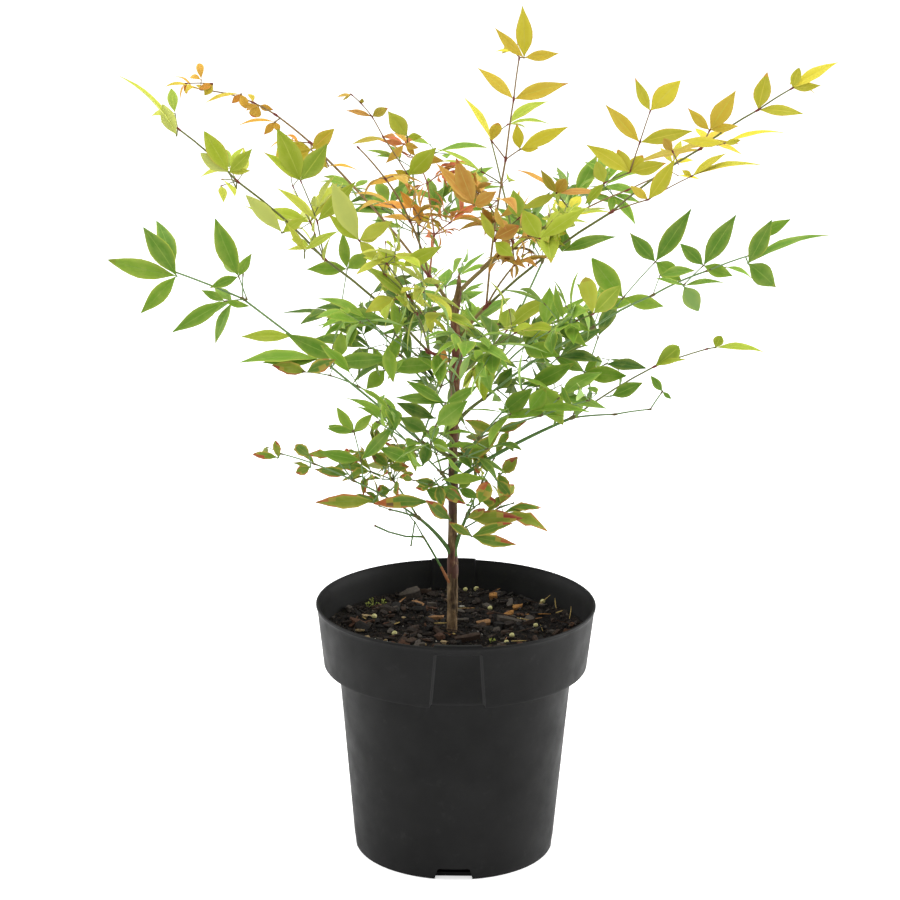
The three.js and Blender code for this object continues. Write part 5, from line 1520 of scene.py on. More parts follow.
class BAMBOO_OT_litter(bpy.types.Operator):
    """Strews bark chips, crumbs, straws and plant food pellets over the soil"""
    bl_idname = "bamboo.litter"
    bl_label = "Strew Litter"

    def execute(self, context):
        soil = context.scene.bamboo_soil
        finishes = {name: chip_finish("chip_" + name, linear(code)) for name, code in CHIP_TONES.items()}
        dice = make_dice(LITTER_SEED)
        heap = Heap()
        for x, y, heading, long, wide, thick, tilt, kind in CHIPS_TOLD:
            turn = turned_by(heading, tilt, 8)
            heap.add(*lay(flake(long, wide, thick, dice), x, y, thick * 0.45, turn), kind)
        for _ in range(soil.chips):             # most are small
            long = 3.5 + 9 * dice() ** 2
            wide = long * (0.3 + 0.4 * dice())
            thick = 1.0 + 0.24 * long * dice()
            x, y = somewhere(dice, *CHIP_PLACE)
            turn = turned_by(360 * dice(), 34 * (dice() - 0.5), 50 * (dice() - 0.5))
            kind = CHIP_MIX[int(dice() * len(CHIP_MIX))]
            heap.add(*lay(flake(long, wide, thick, dice), x, y, thick * 0.3 + 0.5 * dice(), turn), kind)
        self.settle(heap.piece("bark_chips", finishes, 25))
        heap = Heap()
        for _ in range(soil.crumbs):
            x, y = somewhere(dice, *CRUMB_PLACE)
            size = 0.9 + 2.0 * dice() ** 2
            kind = CRUMB_MIX[int(dice() * len(CRUMB_MIX))]
            if dice() < WHITE_CRUMBS:
                kind, size = "white", 1.1
            turn = turned_by(360 * dice(), 60 * dice(), 360 * dice())
            heap.add(*lay(crumb(size, dice), x, y, size * 0.2, turn), kind)
        self.settle(heap.piece("soil_crumbs", finishes, 20))
        heap = Heap()
        told = list(STRAWS_TOLD)
        for _ in range(soil.slivers):
            x, y = somewhere(dice, *STRAW_PLACE)
            kind = STRAW_MIX[int(dice() * len(STRAW_MIX))]
            told.append((x, y, 360 * dice(), 4 + 9 * dice(), 0.45 + 0.6 * dice(), 28 * dice() - 6, kind))
        for x, y, heading, long, thick, tilt, kind in told:
            bend = long * 0.12 * (dice() - 0.5)
            line = [(long * (u - 0.5), bend * math.sin(math.pi * u), 0) for u in (0, 0.3, 0.7, 1)]
            shape = tube(line, [thick * 0.3, thick * 0.5, thick * 0.45, thick * 0.2], 5)
            rise = thick * 0.8 + long / 2 * abs(math.sin(math.radians(tilt))) * 0.8
            heap.add(*lay(shape, x, y, rise + 0.8, turned_by(heading, tilt, 0)), kind)
        self.sprouts(heap, dice)
        self.settle(heap.piece("straw_bits", finishes, 35))
        self.pellets(soil, dice)
        return {"FINISHED"}

    def sprouts(self, heap, dice):
        """Tiny weed seedlings by the left wall and in front."""
        for x, y, height in SPROUTS:
            foot = np.array((x, y, soil_at(x, y) - 0.5))
            for _ in range(5):
                way = aim(360 * dice(), 35 + 50 * dice())
                bend = aim(360 * dice(), 0) * height * 0.3
                line = [foot + way * height * u + bend * u * u for u in (0, 0.35, 0.7, 1)]
                places, faces = tube(line, [0.25, 0.22, 0.2, 0.1], 4)
                heap.add(places, faces, "sprout")
                bud, faces = crumb(1.5, dice)
                heap.add(bud + line[-1], faces, "sprout")

    def pellets(self, soil, dice):
        """Plant food pellets: one small dented ball, modelled once and copied."""
        lone()
        bpy.ops.mesh.primitive_ico_sphere_add(subdivisions=3, radius=PELLET_RADIUS * MM)
        ball = bpy.context.object
        places = corners(ball)
        places *= np.array([[1 + 0.07 * noise.noise(Vector(p))] for p in places])
        places[:, 2] *= 0.93
        move_corners(ball, places)
        spots = list(PELLETS_TOLD)
        while len(spots) < soil.pellets:
            spots.append(somewhere(dice, *PELLET_PLACE))
        tone = soil.pellet[:]
        made = Finish("pellet_coat", tone, 0.5, 0.4)
        mottle = made.noise(900, 4)
        made.colour(made.mix(made.ranged(mottle, 0, 0.5), tone, mixed(tone, (0.3, 0.25, 0.1), 0.5)))
        made.bump(mottle, 0.0002, 0.4)
        copies = []
        for x, y in spots:
            choose(ball)
            bpy.ops.object.duplicate()
            copy = bpy.context.object
            size = 0.82 + 0.3 * dice()
            move_corners(copy, corners(copy) * size + np.array((x, y, soil_at(x, y) + PELLET_RISE)))
            copies.append(copy)
        bpy.data.objects.remove(ball)
        lone()
        for copy in copies:
            copy.select_set(True)
        bpy.context.view_layer.objects.active = copies[0]
        bpy.ops.object.join()
        piece = bpy.context.object
        piece.name = piece.data.name = "food_pellets"
        coat(piece, made.material)
        smooth(piece, 60)
        self.settle(piece)

    def settle(self, piece):
        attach(piece, "root")
        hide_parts("soil")


# ---- Cane and stalks ---------------------------------------------------------------------------


ROUGH_TO, ROUGH_FADE, ROUGH_LEAST = 195, 90, 0.4       # the bark is at its roughest up to here
RING_SCARS = (157, 164, 172.5, 180, 189, 197)
KNOTS = ((-1.45, 163.5, 1.5), (-1.1, 168, 1.2), (-2.6, 176, 1.0), (2.2, 172, 1.3))   # turn, height, size
CANE_END = ((1, 0.95), (2.5, 0.85), (4.5, 0.62), (6.5, 0.36), (8, 0.12))    # over the tip: height, share
# Plain bands of bark up the cane: from, to, colour. Between two bands the colours run together.
BARK_BANDS = (
    (150, 191, 0x6b5a40), (199, 209, 0x5c3329), (216, 270, 0x5f4d2e), (284, 354, 0x70342b),
    (366, 377, 0x705830), (388, 392, 0x7a4a30),
)


def cane_relief(angle, height, depth):
    """How far the bark stands off at a place: long fissures, ring scars, knots and the nodes."""
    rough = 1.0 if height < ROUGH_TO else max(ROUGH_LEAST, 1.0 - (height - ROUGH_TO) / ROUGH_FADE)
    x, y = math.cos(angle), math.sin(angle)
    ridge = noise.noise(Vector((x * 2.6, y * 2.6, height / 22)))
    fine = noise.noise(Vector((x * 7, y * 7, height / 7)))
    lift = depth * rough * (1.5 * (0.4 - abs(ridge) * 2.4) + 0.7 * fine)
    for scar in RING_SCARS:
        lift += 0.2 * math.exp(-((height - scar + 0.6 * math.sin(angle)) / 0.7) ** 2)
    for turn, place, size in KNOTS:
        off = math.hypot((angle - turn + math.pi) % (2 * math.pi) - math.pi, (height - place) / 3.3)
        lift += 0.45 * size * (math.exp(-(off / 0.42) ** 2) - 1.7 * math.exp(-(off / 0.2) ** 2))
    for foot, *_ in COMPOUND_LEAVES.values():
        lift += 0.3 * math.exp(-((height - foot + 3) / 2.6) ** 2)
    return lift


class BAMBOO_OT_cane(bpy.types.Operator):
    """Raises the cane with its fissured bark and ring scars, no stouter anywhere than its largest radius"""
    bl_idname = "bamboo.cane"
    bl_label = "Build Cane"

    def execute(self, context):
        stem = context.scene.bamboo_stem
        heights = np.concatenate(([147.5], np.linspace(148.5, CANE_TIP, 238)))
        rows = [(cane_value(max(z, CANE_FOOT), 1), min(cane_value(max(z, CANE_FOOT), 2), stem.cane / MM), z)
                for z in heights]
        lean, tip = rows[-1][0], rows[-1][1]
        rows += [(lean, tip * size, CANE_TIP + up) for up, size in CANE_END]
        piece = extruded_rings("cane_bark", 40, rows)
        places = corners(piece)
        for place in places:
            x = cane_value(min(max(place[2], CANE_FOOT), CANE_TIP), 1)      # the cane's middle there
            angle = math.atan2(place[1], place[0] - x)
            radius = math.hypot(place[1], place[0] - x)
            grown = radius + cane_relief(angle, place[2], stem.fissures / MM) * min(1.0, radius / 1.5)
            place[0], place[1] = x + grown * math.cos(angle), grown * math.sin(angle)
        move_corners(piece, places)
        stops = [(z * MM, mixed(linear(code), stem.bark[:], 0.25))
                 for low, high, code in BARK_BANDS for z in (low, high)]
        coat(piece, cane_bark(stops))
        smooth(piece, 60)
        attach(piece, "root")
        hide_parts("cane")
        return {"FINISHED"}


SHEATH_RINGS, STALK_SIDES, BARE_SIDES, BARE_SLIM = 9, 12, 8, 0.85
SHEATH_DOWN, SHEATH_LONG, SHEATH_LOWEST, SHEATH_NECK = 13, 15, 152.0, 1.6
GREEN_UNDER, LOW_SHEATH_UNDER, TURNING_UNDER = 262, 285, 320        # feet of stalks, by their skin
# The knob at a stalk's end: how far off its middle, and how stout.
KNOB_RINGS = ((-2.4, 1.0), (-1.7, 1.15), (-0.9, 1.4), (0, 1.5), (0.9, 1.4), (1.7, 1.05), (2.1, 0.5))


def sheathed_line(told):
    """A stalk's middle line and radii, from the sheath that clasps the cane to its knob."""
    foot, heading = told[:2]
    points, radii = [], []
    for u in np.linspace(0, 1, SHEATH_RINGS):
        z = max(foot - SHEATH_DOWN + SHEATH_LONG * u, SHEATH_LOWEST)
        ease = u * u
        points.append(cane_at(z) + aim(heading, 0) * (0.35 + 0.5 * cane_value(z, 2) * ease))
        clasp = min(cane_value(z, 2), CANE_STOUTEST) + 0.3
        radii.append(clasp * (1 - ease) + SHEATH_NECK * ease - 0.5 * (1 - u) ** 6)
    total = np.linalg.norm(stalk_point(*told, 1) - stalk_point(*told, 0))
    count = max(10, int(total / 3))
    for i in range(1, count + 1):
        t = i / count
        place = stalk_point(*told, t)
        crammed = (np.linalg.norm(place - points[SHEATH_RINGS - 1]) < 2.2
                   or place[2] < points[-1][2] + 0.3)
        if not (crammed and t < 0.5):
            points.append(place)
            radii.append(STALK_FOOT + (STALK_END - STALK_FOOT) * t)
    return points, radii


class BAMBOO_OT_stalks(bpy.types.Operator):
    """Grows the leaf stalks with their sheaths and knobs, and the bare stalks"""
    bl_idname = "bamboo.stalks"
    bl_label = "Grow Stalks"

    def execute(self, context):
        stem = context.scene.bamboo_stem
        green, ripe, maroon, joint = stem.green[:], stem.ripe[:], stem.maroon[:], stem.joint[:]
        finishes = {
            "sheath": stem_finish("sheath_skin", mixed(maroon, ripe, 0.25)),
            "low_sheath": stem_finish("low_sheath_skin", linear(0x523428)),
            "green": stem_finish("green_skin", green),
            "mixed": stem_finish("turning_skin", mixed(green, ripe, 0.5)),
            "ripe": stem_finish("ripe_skin", ripe),
            "joint": stem_finish("joint_skin", joint),
            "dim": stem_finish("dim_joint_skin", mixed(joint, green, 0.6)),
            "dry": stem_finish("dry_skin", linear(0x9c6540), 0.7),
        }
        heap = Heap()
        for name, (*told, _) in COMPOUND_LEAVES.items():
            foot = told[0]
            ground = "green" if foot < GREEN_UNDER else "mixed" if foot < TURNING_UNDER else "ripe"
            sheath = "low_sheath" if foot < LOW_SHEATH_UNDER else "sheath"
            knob = "dim" if foot < TURNING_UNDER else "joint"
            points, radii, kinds = self.knobbed(*sheathed_line(told), sheath, ground, knob)
            aside = BACK if abs(math.sin(math.radians(told[1]))) < 0.9 else RIGHT
            places, faces = tube(points, radii, STALK_SIDES, aside, 0.05)
            skins = [kinds[k] for k in range(len(points) - 1) for _ in range(STALK_SIDES)]
            heap.add(places, faces, [*skins, sheath, knob])
        piece = heap.piece("leaf_stalks", finishes, 50)
        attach(piece, "root")
        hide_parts(*[f"stalk_{name}" for name in COMPOUND_LEAVES])
        heap = Heap()
        for dry, told in self.bare_shapes():
            points, radii = [np.array(p[:3]) for p in told], [p[3] for p in told]
            places, faces = tube(points, radii, BARE_SIDES)
            skins = ["dry" if k < dry else "dim" if radii[k + 1] > radii[k] * 1.15 or radii[k] > 0.8
                     else "green" for k in range(len(points) - 1) for _ in range(BARE_SIDES)]
            heap.add(places, faces, [*skins, "dim", "joint"])
        piece = heap.piece("bare_stalks", finishes, 50)
        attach(piece, "root")
        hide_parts(*BARE_STALKS)
        return {"FINISHED"}

    def bare_shapes(self):
        """Every bare stalk: how many of its stretches are dry, and places with radii."""
        shapes = list(BARE_SHAPES)
        for name in ("bare_left", "bare_right"):
            rings = bare_rings(BARE_STALKS[name])
            told = [(*(a + (b - a) * u), (ra + (rb - ra) * u) * BARE_SLIM)
                    for (a, ra), (b, rb) in zip(rings, rings[1:]) for u in (0, 0.35, 0.7, 0.92)]
            told.append((*rings[-1][0], rings[-1][1] * BARE_SLIM))
            shapes.append((0, told))
        return shapes

    def knobbed(self, points, radii, sheath, ground, knob):
        """Adds the swollen knob at a stalk's end, and tells each stretch its skin."""
        way, end = unit(points[-1] - points[-2]), points[-1]
        points = [p for p in points if np.linalg.norm(p - end) > 2.6]
        kinds = [sheath] * (SHEATH_RINGS - 1) + [ground] * (len(points) - SHEATH_RINGS)
        kinds += [knob] * len(KNOB_RINGS)
        radii = radii[:len(points)] + [radius * KNOB / 2 for _, radius in KNOB_RINGS]
        return points + [end + way * off for off, _ in KNOB_RINGS], radii, kinds


# ---- Twigs -------------------------------------------------------------------------------------


SHORT_TWIG = 12                 # no coloured joints on a twig under this
NECK, NECK_SHARE = 2.2, 0.3     # how long a joint's neck is, and at most of its stretch
LONG_BOW = 40                   # stretches over this bow fully, others by SHORT_BOW of it
SHORT_BOW, TWIG_TAPER = 0.6, 0.12
SWELL_JOINT, SWELL_BEFORE, SWELL_AFTER = 1.55, 1.3, 1.35
SPRAY_SHORT, SPRAY_LONG, STOUT = 90, 220, 1.05      # reaches between which a rachis gains to STOUT
# Each tint's skin of a twig and of its joints.
TWIG_SKINS = dict(green=("green", "dim"), deep=("green", "dim"), aged=("green", "dim"),
                  lime=("mixed", "joint"), yellow=("ripe", "joint"), bronze=("ripe", "joint"),
                  orange=("ripe", "joint"), red=("rosy", "joint"))


def jointed_line(twig, slim, first):
    """A twig's rings: points, radii and whether each belongs to a joint."""
    joints, radii = twig["joints"], twig["radii"]
    points, sizes, marks = [], [], []
    for k in range(1, len(joints)):
        a, b = joints[k - 1], joints[k]
        span = np.linalg.norm(b - a)
        if span < 1e-6:
            continue
        way = (b - a) / span
        bow = twig["bow"] * (span * (BOW if span > LONG_BOW else BOW * SHORT_BOW))
        radius = radii[k - 1] * slim
        neck = min(NECK / span, NECK_SHARE)
        stops = [0.0 if k == 1 else neck * 0.6, neck, 0.25, 0.5, 0.75, 1 - neck, 1 - neck * 0.5, 1.0]
        if k == 1 and first > 1:
            points.append(a - way * (KNOB + GAP) * 0.8)
            sizes.append(radius * 0.95)
            marks.append(True)
        for u in stops:
            points.append(a + (b - a) * u + bow * (4 * u * (1 - u)))
            near_end = u >= 1 - neck * 0.5
            near_start = u < neck * 0.9 and k > 1
            swell = (first if k == 1 and u == 0.0 else SWELL_JOINT if u == 1.0 else
                     SWELL_BEFORE if near_end else SWELL_AFTER if near_start else 1.0)
            sizes.append(radius * (1 - TWIG_TAPER * u) * swell)
            marks.append(near_end or near_start or (k == 1 and u < neck))
        if k == len(joints) - 1:
            points.append(b + way * STUB * 0.8)
            sizes.append(radius * 0.8)
            marks.append(True)
    return points, sizes, marks


class BAMBOO_OT_twigs(bpy.types.Operator):
    """Grows every spray's rachis and side twigs, with their swollen red joints"""
    bl_idname = "bamboo.twigs"
    bl_label = "Grow Twigs"

    def execute(self, context):
        stem = context.scene.bamboo_stem
        green, ripe, joint = stem.green[:], stem.ripe[:], stem.joint[:]
        finishes = {
            "green": stem_finish("green_twig", mixed(green, linear(0x86a06c), 0.45)),
            "mixed": stem_finish("turning_twig", mixed(green, ripe, 0.55)),
            "ripe": stem_finish("ripe_twig", mixed(ripe, linear(0x8d6a4a), 0.4)),
            "rosy": stem_finish("rosy_twig", linear(0x96603f)),
            "joint": stem_finish("joint_twig", joint),
            "dim": stem_finish("dim_joint", mixed(joint, green, 0.5)),
            "bud": stem_finish("bud_skin", linear(0x93372f)),
            "pink": stem_finish("pink_bud_skin", linear(0xc9756a)),
            "thread": stem_finish("thread_skin", linear(0x8a4a48)),
        }
        heap = Heap()
        for grown in SPRAYS:
            skin, mark = TWIG_SKINS[grown["tint"]]
            longer = (sum(grown["told"]["steps"]) - SPRAY_SHORT) / (SPRAY_LONG - SPRAY_SHORT)
            stout = stem.slim + (STOUT - stem.slim) * min(1.0, max(0.0, longer))
            self.grow_twig(heap, grown, stout, 1.1, 8, skin, mark)
            for side in grown["sides"]:
                self.grow_twig(heap, side, stem.slim, 0.9, 6, skin, mark)
            for shoot in grown["finer"]:
                self.grow_twig(heap, shoot, stem.slim * 0.85, 0.9, 5, skin, mark)
        for sprig in OWN_SPRIGS:
            if len(sprig["joints"]) > 1:
                self.grow_twig(heap, sprig, stem.slim * 1.2, 0.9, 6, *TWIG_SKINS[sprig["tint"]])
        piece = heap.piece("twigs", finishes, 50)
        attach(piece, "root")
        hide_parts(*[grown["node"] for grown in SPRAYS])
        heap = Heap()
        for i, told in enumerate(BUD_STEMS):
            places, faces = tube([np.array(p[:3]) for p in told], [p[3] for p in told], 6, BACK)
            heap.add(places, faces, "ripe" if i == 0 else "thread")
        dice = make_dice(BUD_SEED)
        for x, y, z, size, kind in BUDS:
            places, faces = crumb(size * 1.25, dice)
            heap.add(places * (0.8, 0.8, 1.35) + (x, y, z), faces, kind)
        piece = heap.piece("bud_threads", finishes, 50)
        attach(piece, "root")
        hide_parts("foliage_top_front", "foliage_crown_front")
        return {"FINISHED"}

    def grow_twig(self, heap, twig, slim, first, sides, skin, mark):
        points, sizes, marks = jointed_line(twig, slim, first)
        places, faces = tube(points, sizes, sides)
        if np.linalg.norm(twig["joints"][-1] - twig["joints"][0]) < SHORT_TWIG:
            mark = skin
        kinds = [mark if marks[k + 1] or marks[k] else skin
                 for k in range(len(points) - 1) for _ in range(sides)] + [mark] * 2
        heap.add(places, faces, kinds)


# ---- Leaves ------------------------------------------------------------------------------------

# Along a blade: how far, its half width there against the widest, and the same for a blunt blade.
OUTLINE = ((0.025, 0.05, 0.05), (0.09, 0.21, 0.12), (0.18, 0.52, 0.26), (0.29, 0.82, 0.46),
           (0.41, 0.98, 0.68), (0.53, 0.97, 0.86), (0.65, 0.81, 0.98), (0.77, 0.53, 0.98),
           (0.88, 0.25, 0.8), (0.955, 0.09, 0.46))
STRIPS, OLD_STRIPS = (-1.0, -0.9, -0.05, 0.05, 0.9, 1.0), (-1.0, -0.72, -0.05, 0.05, 0.72, 1.0)

# What each kind of blade is painted with: shades, tip, margin, rib, underside.
BLADE_PLAN = {
    "yellow": ((0xdbcb37, 0xd0c93a, 0xe1c441, 0xc5c138), 0xe2ac44, 0xdfb647, 0xe0d85b, 0xcbb753),
    "lime": ((0xadbe33, 0xa0b231, 0xbcc242, 0x94ac35), 0xb4aa3a, 0xbaae43, 0xbfca55, 0xcbd46f),
    "green": ((0x77a02e, 0x6e972e, 0x84a735, 0x658f2e), 0x889b34, 0x9cb23c, 0x8ba84a, 0x8eb05e),
    "deep": ((0x4e7421, 0x43691f, 0x567a26), 0x607726, 0x637e2a, 0x648034, 0x65803c),
    "bronze": ((0xc49d3f, 0xca923f, 0xb2a138, 0xbb8338), 0xc1743d, 0xc2803f, 0xd3b15a, 0xc19546),
    "orange": ((0xdaa738, 0xd29d36, 0xdf9236, 0xc4af32), 0xd4743a, 0xd2873b, 0xdfb855, 0xce9948),
    "red": ((0xcc7443, 0xd29041, 0xc8a03d, 0xc86243), 0xc2543b, 0xc6643f, 0xd89e5a, 0xce8648),
    "aged": ((0x76942f, 0x68882d, 0x86942f, 0x5f822f), 0x9b882f, 0x9f9133, 0x8f9a44, 0x8f9a50),
}
AGED_SPOTS = (0xb04e36, 0xb5643a, 0x9c4536, 0xa9983e, 0x74563a)     # three reds, ochre, brown
SPRAY_PAINT = {"foliage_crown_right": "yellow"}     # painted as another tint's blades
LIMP, DROOP = 0.3, {"bronze": 0.8, "orange": 1.0, "red": 1.0, "aged": 0.6}
SMALL_OLD, BLUNT_OLD, BLUNT = 24, 0.75, 0.15        # small old leaflets may be blunter
OTHER_SHADE, PLAIN_MARGIN, PLAIN_TIP = 0.55, 0.5, 0.6       # chances for each leaflet
NARROW_TINTS = dict(bronze=0.86, orange=0.8, red=0.8, yellow=0.88, lime=0.9, green=0.94, deep=0.94)


def blade_mesh(leaf, settings, dice, crisp, limp, slim, blunt):
    """A leaflet's skin: a folded, arching blade, closed by a keel below. crisp makes the edge
    wavy and curled, as on old leaves, limp lets it hang, and blunt rounds its tip. Returns
    places, faces, each face's part with its place along and across, and blade places."""
    twist = math.radians(38) * (dice() - 0.5)
    sway = 0.18 * (dice() - 0.5)
    drop = settings.curl * (0.2 + 1.3 * dice()) * limp
    wave, phase = crisp * (0.015 + 0.03 * dice()), 6.28 * dice()
    fold = LEAF_FOLD * (0.5 + 1.0 * dice())
    size, half = leaf["length"], leaf["width"] / 2 * settings.breadth * slim
    thick = settings.thickness / MM

    def place(t, s, w, off=0.0):
        turn = twist * (t - 0.25)
        across = leaf["across"] * math.cos(turn) + leaf["upper"] * math.sin(turn)
        upper = leaf["upper"] * math.cos(turn) - leaf["across"] * math.sin(turn)
        height = leaf["arch"] * (0.3 + 0.7 * limp) * size * ARCH_HEIGHT * t * (1 - ARCH_FALL * t)
        height -= drop * size * max(0.0, t - 0.45) ** 2
        edge = abs(s)
        height += fold * edge * half * w - 0.5 * half * w * max(0.0, edge - 0.85)
        height += wave * size * edge * math.sin(15 * t + phase * (1 if s > 0 else 1.7)) * w
        return (leaf["root"] + leaf["way"] * (t * size) + leaf["across"] * (sway * size * t * t)
                + across * (s * half * w) + upper * (height + off))

    places, blade, stations = [place(0, 0, 0)], [(0, 0.5)], [[0] * 7]
    for k, (t, w, w_blunt) in enumerate(OUTLINE):
        w += (w_blunt - w) * blunt
        w *= 1 + 0.05 * crisp * (1 if k % 2 else -1)
        stations.append(range(len(places), len(places) + 7))       # six across, then the keel
        for s in OLD_STRIPS if crisp > 0.5 else STRIPS:
            places.append(place(t, s, w))
            blade.append((t, (s + 1) / 2))
        places.append(place(t, 0, w, -thick * (0.4 + 0.6 * w)))
        blade.append((t, 0.5))
    stations.append([len(places)] * 7)
    places.append(place(1, 0, 0))
    blade.append((1, 0.5))
    faces, parts = [], []
    for k, (a, b) in enumerate(zip(stations, stations[1:])):
        quads = [(a[c], b[c], b[c + 1], a[c + 1]) for c in range(5)]
        quads += [(a[0], a[6], b[6], b[0]), (a[6], a[5], b[5], b[6])]
        faces += [tuple(dict.fromkeys(quad)) for quad in quads]    # three corners at either end
        last = k == len(OUTLINE)
        along = 0.0 if k == 0 else 1.0 if last else (OUTLINE[k - 1][0] + OUTLINE[k][0]) / 2
        edge = "margin" if k else "blade"
        names = (edge, "blade", "rib", "blade", edge) if along < 0.85 else ("tip",) * 5
        parts += [(name, along, c) for c, name in enumerate(names)]
        parts += [("under", along, 0), ("under", along, 4)]
    return np.array(places), faces, parts, np.array(blade)


class BAMBOO_OT_leaves(bpy.types.Operator):
    """Unfolds every leaflet, one piece for each tint"""
    bl_idname = "bamboo.leaves"
    bl_label = "Unfold Leaves"

    def execute(self, context):
        settings = context.scene.bamboo_leaf
        finishes = {}
        for tint, (shades, tip, margin, rib, under) in BLADE_PLAN.items():
            for i, code in enumerate(shades):
                colour = getattr(settings, tint)[:] if i == 0 else linear(code)
                finishes[f"{tint} blade{i}"] = blade_finish(f"{tint}_blade_{i}", colour, 0.46)
            rib_tone = mixed(linear(shades[0]), linear(rib), 0.6)
            for part, colour, shine in (("tip", linear(tip), 0.5), ("margin", linear(margin), 0.5),
                                        ("rib", rib_tone, 0.5), ("under", linear(under), 0.62)):
                finishes[f"{tint} {part}"] = blade_finish(f"{tint}_{part}", colour, shine)
        for i, code in enumerate(AGED_SPOTS):
            finishes[f"spot{i}"] = blade_finish(f"aged_spot_{i}", linear(code), 0.6)
        for tint in BLADE_PLAN:
            self.one_tint(settings, finishes, tint)
        return {"FINISHED"}

    def one_tint(self, settings, finishes, tint):
        heap, nodes = Heap(), []
        slim = NARROW_TINTS.get(tint, 1.0)
        for grown in SPRAYS:
            if grown["tint"] != tint:
                continue
            nodes.append(grown["node"])
            paint = SPRAY_PAINT.get(grown["node"], tint)
            dice = make_dice(grown["told"]["seed"] + LEAF_SEED)
            shade = int(dice() * len(BLADE_PLAN[paint][0]))
            for twig in [*grown["sides"], grown, *grown["finer"]]:
                for leaf in twig["leaflets"]:
                    rounded = tint == "aged" and leaf["length"] < SMALL_OLD
                    blunt = (BLUNT_OLD if rounded else BLUNT) * dice()
                    self.unfold(heap, leaf, settings, dice, paint, shade, slim, blunt)
        dice = make_dice(SPRIG_SEED)
        for sprig in OWN_SPRIGS:
            if sprig["tint"] == tint:
                shade = int(dice() * len(BLADE_PLAN[tint][0]))
                for leaf in sprig["leaflets"]:
                    self.unfold(heap, leaf, settings, dice, tint, shade, 1.0, leaf["blunt"])
        piece = heap.piece(f"leaves_{tint}", finishes, 65)
        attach(piece, "root")
        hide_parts(*nodes)

    def unfold(self, heap, leaf, settings, dice, paint, shade, slim, blunt):
        """Adds one leaflet, in its spray's shade or, about as often, in any of the tint's."""
        crisp = 1.0 if paint == "aged" else 0.2
        limp = LIMP if "seen" in leaf else DROOP.get(paint, LIMP)
        places, faces, parts, blade = blade_mesh(leaf, settings, dice, crisp, limp, slim, blunt)
        if dice() < OTHER_SHADE:
            shade = int(dice() * len(BLADE_PLAN[paint][0]))
        plain_margin, plain_tip = dice() < PLAIN_MARGIN, dice() < PLAIN_TIP
        painted = []
        for kind, *_ in parts:
            if kind == "blade" or (kind == "margin" and plain_margin) or (kind == "tip" and plain_tip):
                kind = f"blade{shade}"
            painted.append(f"{paint} {kind}")
        if paint == "aged":
            self.weather(painted, parts, dice)
        heap.add(places, faces, painted, blade)

    def weather(self, painted, parts, dice):
        """Reddens an old leaf: its margins and tip, further down on one side, and at times a patch."""
        red, ochre = f"spot{int(dice() * 3)}", "spot3"
        tip_from, margin_from = 0.72 + 0.4 * dice(), 0.25 + 0.9 * dice()
        worse, lead = (1 if dice() < 0.5 else -1), 0.08 + 0.26 * dice()
        patch_at, patch_side = 0.2 + 0.6 * dice(), 1 if dice() < 0.5 else 3
        patch = f"spot{int(dice() * len(AGED_SPOTS))}" if dice() < 0.1 else None
        for i, (kind, along, column) in enumerate(parts):
            if kind == "under":
                continue
            gone = along + lead * worse * (column - 2) / 2      # how far the reddening has come
            if column in (0, 4) and along > 0.15:
                painted[i] = red if gone > margin_from else ochre
            if gone > tip_from:
                painted[i] = red
            elif gone > tip_from - 0.1:
                painted[i] = ochre
            if patch and column == patch_side and abs(along - patch_at) < 0.07:
                painted[i] = patch


# ---- Studio ------------------------------------------------------------------------------------

# In metres and watts: place, what it is turned to, size and power.
LAMPS = (
    ("top_light", (0.0, 0.1, 2.3), (0, 0, 0.3), 2.2, 43),
    ("left_light", (-1.7, 0.5, 0.9), (0, 0, 0.3), 1.5, 26),
    ("right_light", (1.7, 0.35, 0.8), (0, 0, 0.3), 1.5, 38),
    ("front_light", (-0.8, -2.2, 1.9), (0, 0, 0.35), 1.6, 17),
)
CAMERA_PITCH, CAMERA_ROLL = -15.485, 0.506      # degrees

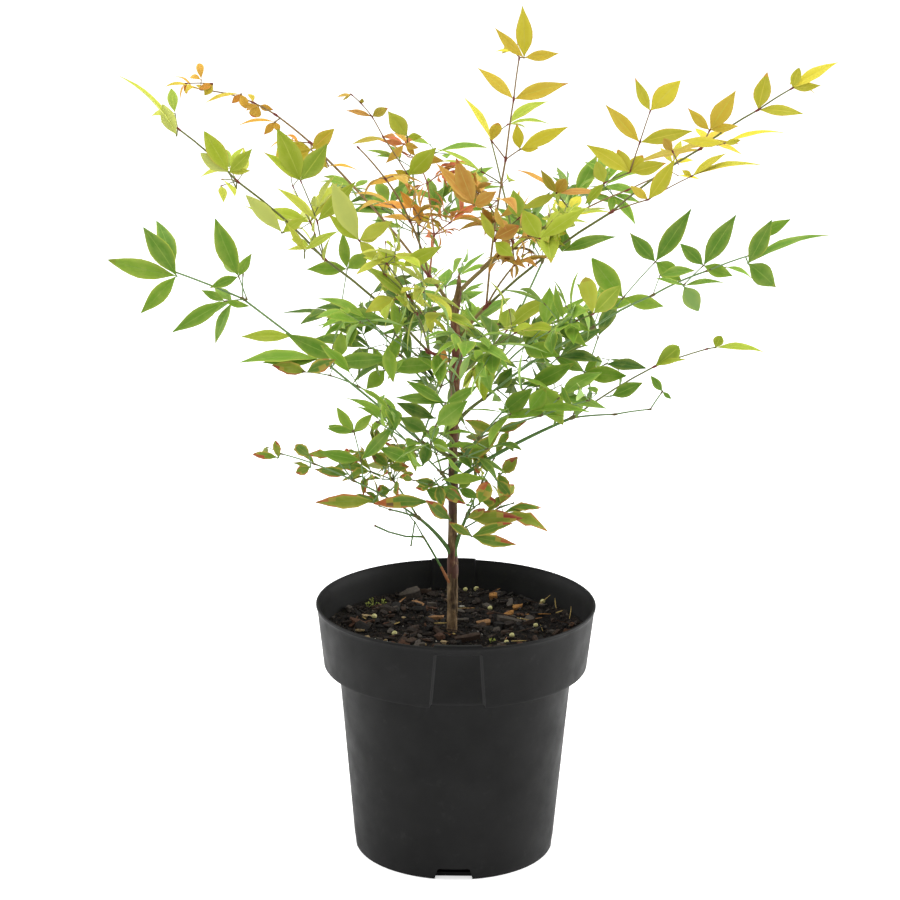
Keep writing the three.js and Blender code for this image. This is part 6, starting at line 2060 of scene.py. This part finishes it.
class BAMBOO_OT_studio(bpy.types.Operator):
    """Sets the pale floor, the soft lights and the camera"""
    bl_idname = "bamboo.studio"
    bl_label = "Set Studio"

    def execute(self, context):
        studio = context.scene.bamboo_studio
        lone()
        bpy.ops.mesh.primitive_plane_add(size=60, location=(0, 0, 0))
        floor = context.object
        floor.name = floor.data.name = "studio_floor"
        made = Finish("studio_paper", studio.floor[:], 0.9, 0.1)
        made.bump(made.noise(300, 2), 0.0002, 0.1)
        seen = made.add("LightPath")                    # looks lit through, but lights nothing
        made.shader.inputs["Emission Color"].default_value = (1, 1, 1, 1)
        away = made.add("VectorMath", out=1, settings=dict(operation="LENGTH"), _0=made.place())
        made.feed(made.shader.inputs["Emission Strength"],
                  made.math("MULTIPLY", seen, made.ranged(away, 0.55, 1.0, 0.7, 3.0)))
        floor.data.materials.append(made.material)
        world = bpy.data.worlds.new("studio_air")
        world.use_nodes = True
        tree = world.node_tree
        back = tree.nodes["Background"]
        back.inputs["Color"].default_value = (1, 1, 1, 1)
        ray = tree.nodes.new("ShaderNodeLightPath")
        seen = tree.nodes.new("ShaderNodeMapRange")     # pure white where the camera sees it
        seen.inputs["To Min"].default_value = studio.sky
        seen.inputs["To Max"].default_value = 1.05
        tree.links.new(ray.outputs["Is Camera Ray"], seen.inputs["Value"])
        tree.links.new(seen.outputs["Result"], back.inputs["Strength"])
        context.scene.world = world
        for name, place, target, size, power in LAMPS:
            lamp = bpy.data.lights.new(name, "AREA")
            lamp.shape, lamp.size, lamp.energy = "SQUARE", size, power * studio.lamps
            holder = bpy.data.objects.new(name, lamp)
            context.scene.collection.objects.link(holder)
            holder.location = place
            holder.rotation_euler = (Vector(target) - Vector(place)).to_track_quat("-Z", "Y").to_euler()
        lens = bpy.data.cameras.new("studio_camera")
        lens.lens, lens.sensor_width = studio.lens, 36
        lens.clip_start, lens.clip_end = 0.05, 30
        camera = bpy.data.objects.new("studio_camera", lens)
        context.scene.collection.objects.link(camera)
        camera.matrix_world = (Matrix.Translation(Vector(EYE) * MM)
                               @ Matrix.Rotation(math.radians(90 + CAMERA_PITCH), 4, "X")
                               @ Matrix.Rotation(math.radians(CAMERA_ROLL), 4, "Z"))
        context.scene.camera = camera
        context.scene.view_settings.view_transform = "Standard"
        return {"FINISHED"}


# ---- Panel and running -------------------------------------------------------------------------


class BAMBOO_PT_build(bpy.types.Panel):
    """Steps and settings for the potted bamboo"""
    bl_idname = "BAMBOO_PT_build"
    bl_label = "Potted Heavenly Bamboo"
    bl_space_type = "VIEW_3D"
    bl_region_type = "UI"
    bl_category = "Bamboo"

    def draw(self, context):
        for settings, operators in STEPS:
            box = self.layout.box()
            group = getattr(context.scene, settings)
            for key in type(group).__annotations__:
                box.prop(group, key)
            for name in operators:
                box.operator(f"bamboo.{name}")


STEPS = (
    ("bamboo_pot", ("pot",)), ("bamboo_soil", ("soil", "litter")),
    ("bamboo_stem", ("cane", "stalks", "twigs")), ("bamboo_leaf", ("leaves",)),
    ("bamboo_studio", ("studio",)),
)
GROUPS = dict(bamboo_pot=PotSettings, bamboo_soil=SoilSettings, bamboo_stem=StemSettings,
              bamboo_leaf=LeafSettings, bamboo_studio=StudioSettings)
CLASSES = (
    *GROUPS.values(), BAMBOO_OT_pot, BAMBOO_OT_soil, BAMBOO_OT_litter, BAMBOO_OT_cane,
    BAMBOO_OT_stalks, BAMBOO_OT_twigs, BAMBOO_OT_leaves, BAMBOO_OT_studio, BAMBOO_PT_build,
)


def register():
    for made in CLASSES:
        bpy.utils.register_class(made)
    for name, group in GROUPS.items():
        setattr(bpy.types.Scene, name, bpy.props.PointerProperty(type=group))


def unregister():
    for name in GROUPS:
        delattr(bpy.types.Scene, name)
    for made in reversed(CLASSES):
        bpy.utils.unregister_class(made)


def main():
    register()
    for _, operators in STEPS:
        for name in operators:
            getattr(bpy.ops.bamboo, name)()


if __name__ == "__main__":
    main()
